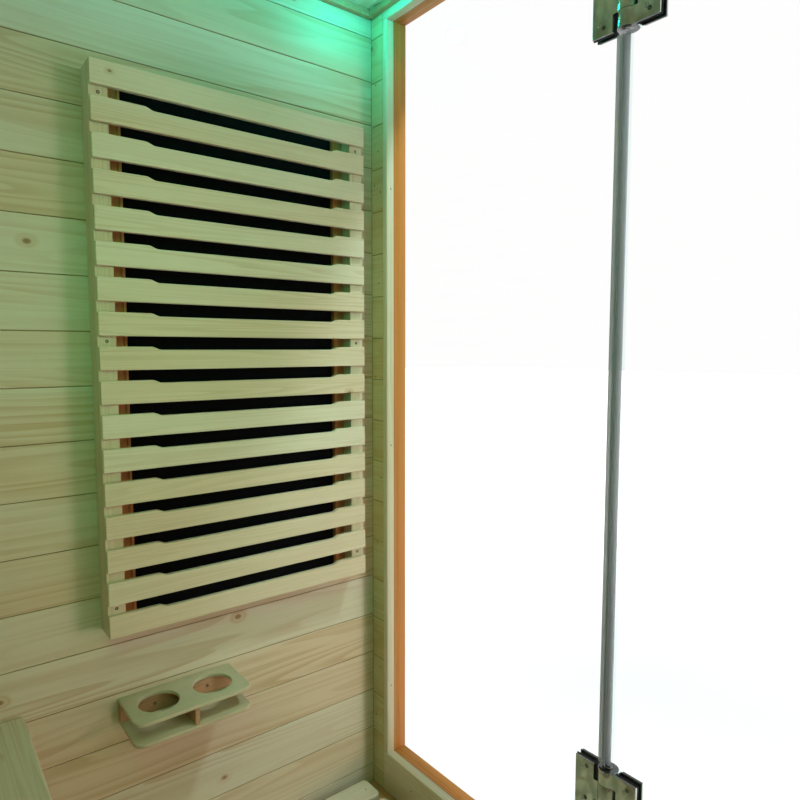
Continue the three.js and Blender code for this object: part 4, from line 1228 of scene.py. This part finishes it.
def backdrop():
    """White where it is seen, and otherwise a low even fill."""
    world = bpy.data.worlds.new("Studio")
    bpy.context.scene.world = world
    world.use_nodes = True
    tree = world.node_tree
    tree.nodes.clear()
    white = add(tree, "ShaderNodeBackground", {"Color": colour(*WHITE), "Strength": 1.0})
    fill = add(tree, "ShaderNodeBackground", {"Color": colour(0.97, 0.98, 1.0), "Strength": 0.1})
    shown(tree, fill, white, tree.nodes.new("ShaderNodeOutputWorld"))


def floor():
    """Pale floor that keeps the shadow near the cabin and turns white further out."""
    made, tree, shader = material("Studio floor")
    axes = object_axes(tree)
    grain = noise(tree, scaled(tree, axes))
    feed(tree, shader, {
        "Base Color": blend(tree, grain, colour(0.80, 0.80, 0.80), colour(0.84, 0.84, 0.84)),
        "Roughness": 0.9,
    })
    out = vector_of(tree, axes["X"], axes["Y"], 0.0)
    distance = add(tree, "ShaderNodeVectorMath", {0: out}, operation="LENGTH").outputs["Value"]
    strength = between(tree, distance, low=1.6, high=4.0, start=0.15, end=0.95)
    glow = add(tree, "ShaderNodeEmission", {"Color": colour(*WHITE), "Strength": strength})
    lit = add(tree, "ShaderNodeAddShader", {0: shader.outputs[0], 1: glow.outputs[0]})
    shown(tree, shader, lit, tree.nodes["Material Output"])
    shape = bmesh.new()
    bmesh.ops.create_grid(shape, x_segments=8, y_segments=8, size=30.0)
    shape.transform(Matrix.Translation((0, 0, cad_low.z - FLOOR_DROP)))
    ground = object_from(shape, "studio_floor")
    ground.data.materials.append(made)


def camera():
    data = bpy.data.cameras.new("Camera")
    data.sensor_width = 36.0
    data.lens = 28.50
    data.clip_start = 0.02
    eye = new_object("Camera", data)
    aimed(eye, place=(-0.3060, 0.2968, 1.1304), view=(0.7823, -0.6178, -0.0794))
    bpy.context.scene.camera = eye


def room_lights():
    """Light through the glass front, from the ceiling, and green light thrown back by the walls."""
    area_light("key", place=(-0.27, -1.19, 2.80), target=(0.9, -0.3, 0.8),
               size=(0.25, 0.25), power=30, tint=(0.68, 0.93, 1.0))
    area_light("side_window", place=(-1.57, -1.79, 1.75), target=(0.9, -0.2, 1.2),
               size=(0.5, 0.2), power=11, tint=(1.0, 0.94, 1.0))
    area_light("low_front", place=(-0.9, -1.55, 0.50), target=(0.93, -0.30, 0.45),
               size=(1.0, 0.5), power=2.0, tint=(1.0, 0.78, 0.60), spread=70)
    area_light("room_panel", place=(-0.1, 0.0, 1.785), target=(-0.1, 0.0, 0.0),
               size=(1.2, 0.8), power=2.5, tint=(1.0, 0.86, 0.62))
    area_light("green_bounce", place=(0.0, 0.32, 1.45), target=(0.9, -0.4, 1.0),
               size=(0.3, 0.3), power=1.0, tint=(0.0, 1.0, 0.35), spread=100)
    area_light("ceiling_bounce", place=(0.45, -0.25, 1.50), target=(0.45, -0.25, 2.0),
               size=(0.3, 0.3), power=0.4, tint=GREEN)


def outer_lights():
    """Large even lamps behind the cabin and at both sides, for its outside."""
    for name, place in (("back", (0, 4, 2.4)), ("left", (-4, 0.9, 2.2)), ("right", (4, 0.9, 2.2))):
        area_light(f"{name}_panel_light", place, target=(0, 0, 1.0), size=(3.0, 3.0), power=80)


def studio():
    room_lights()
    outer_lights()
    high_sun()
    front_flag()
    green_light()
    backdrop()
    floor()


camera()
shell()
ceiling_trim()
frame_nails()
door()
for level in ("lower", "upper"):
    hinge(level)
guards()
bench()
grating()
heaters()
drink_holder()
lamps()
controls()
studio()
bpy.context.scene.view_settings.view_transform = "Standard"
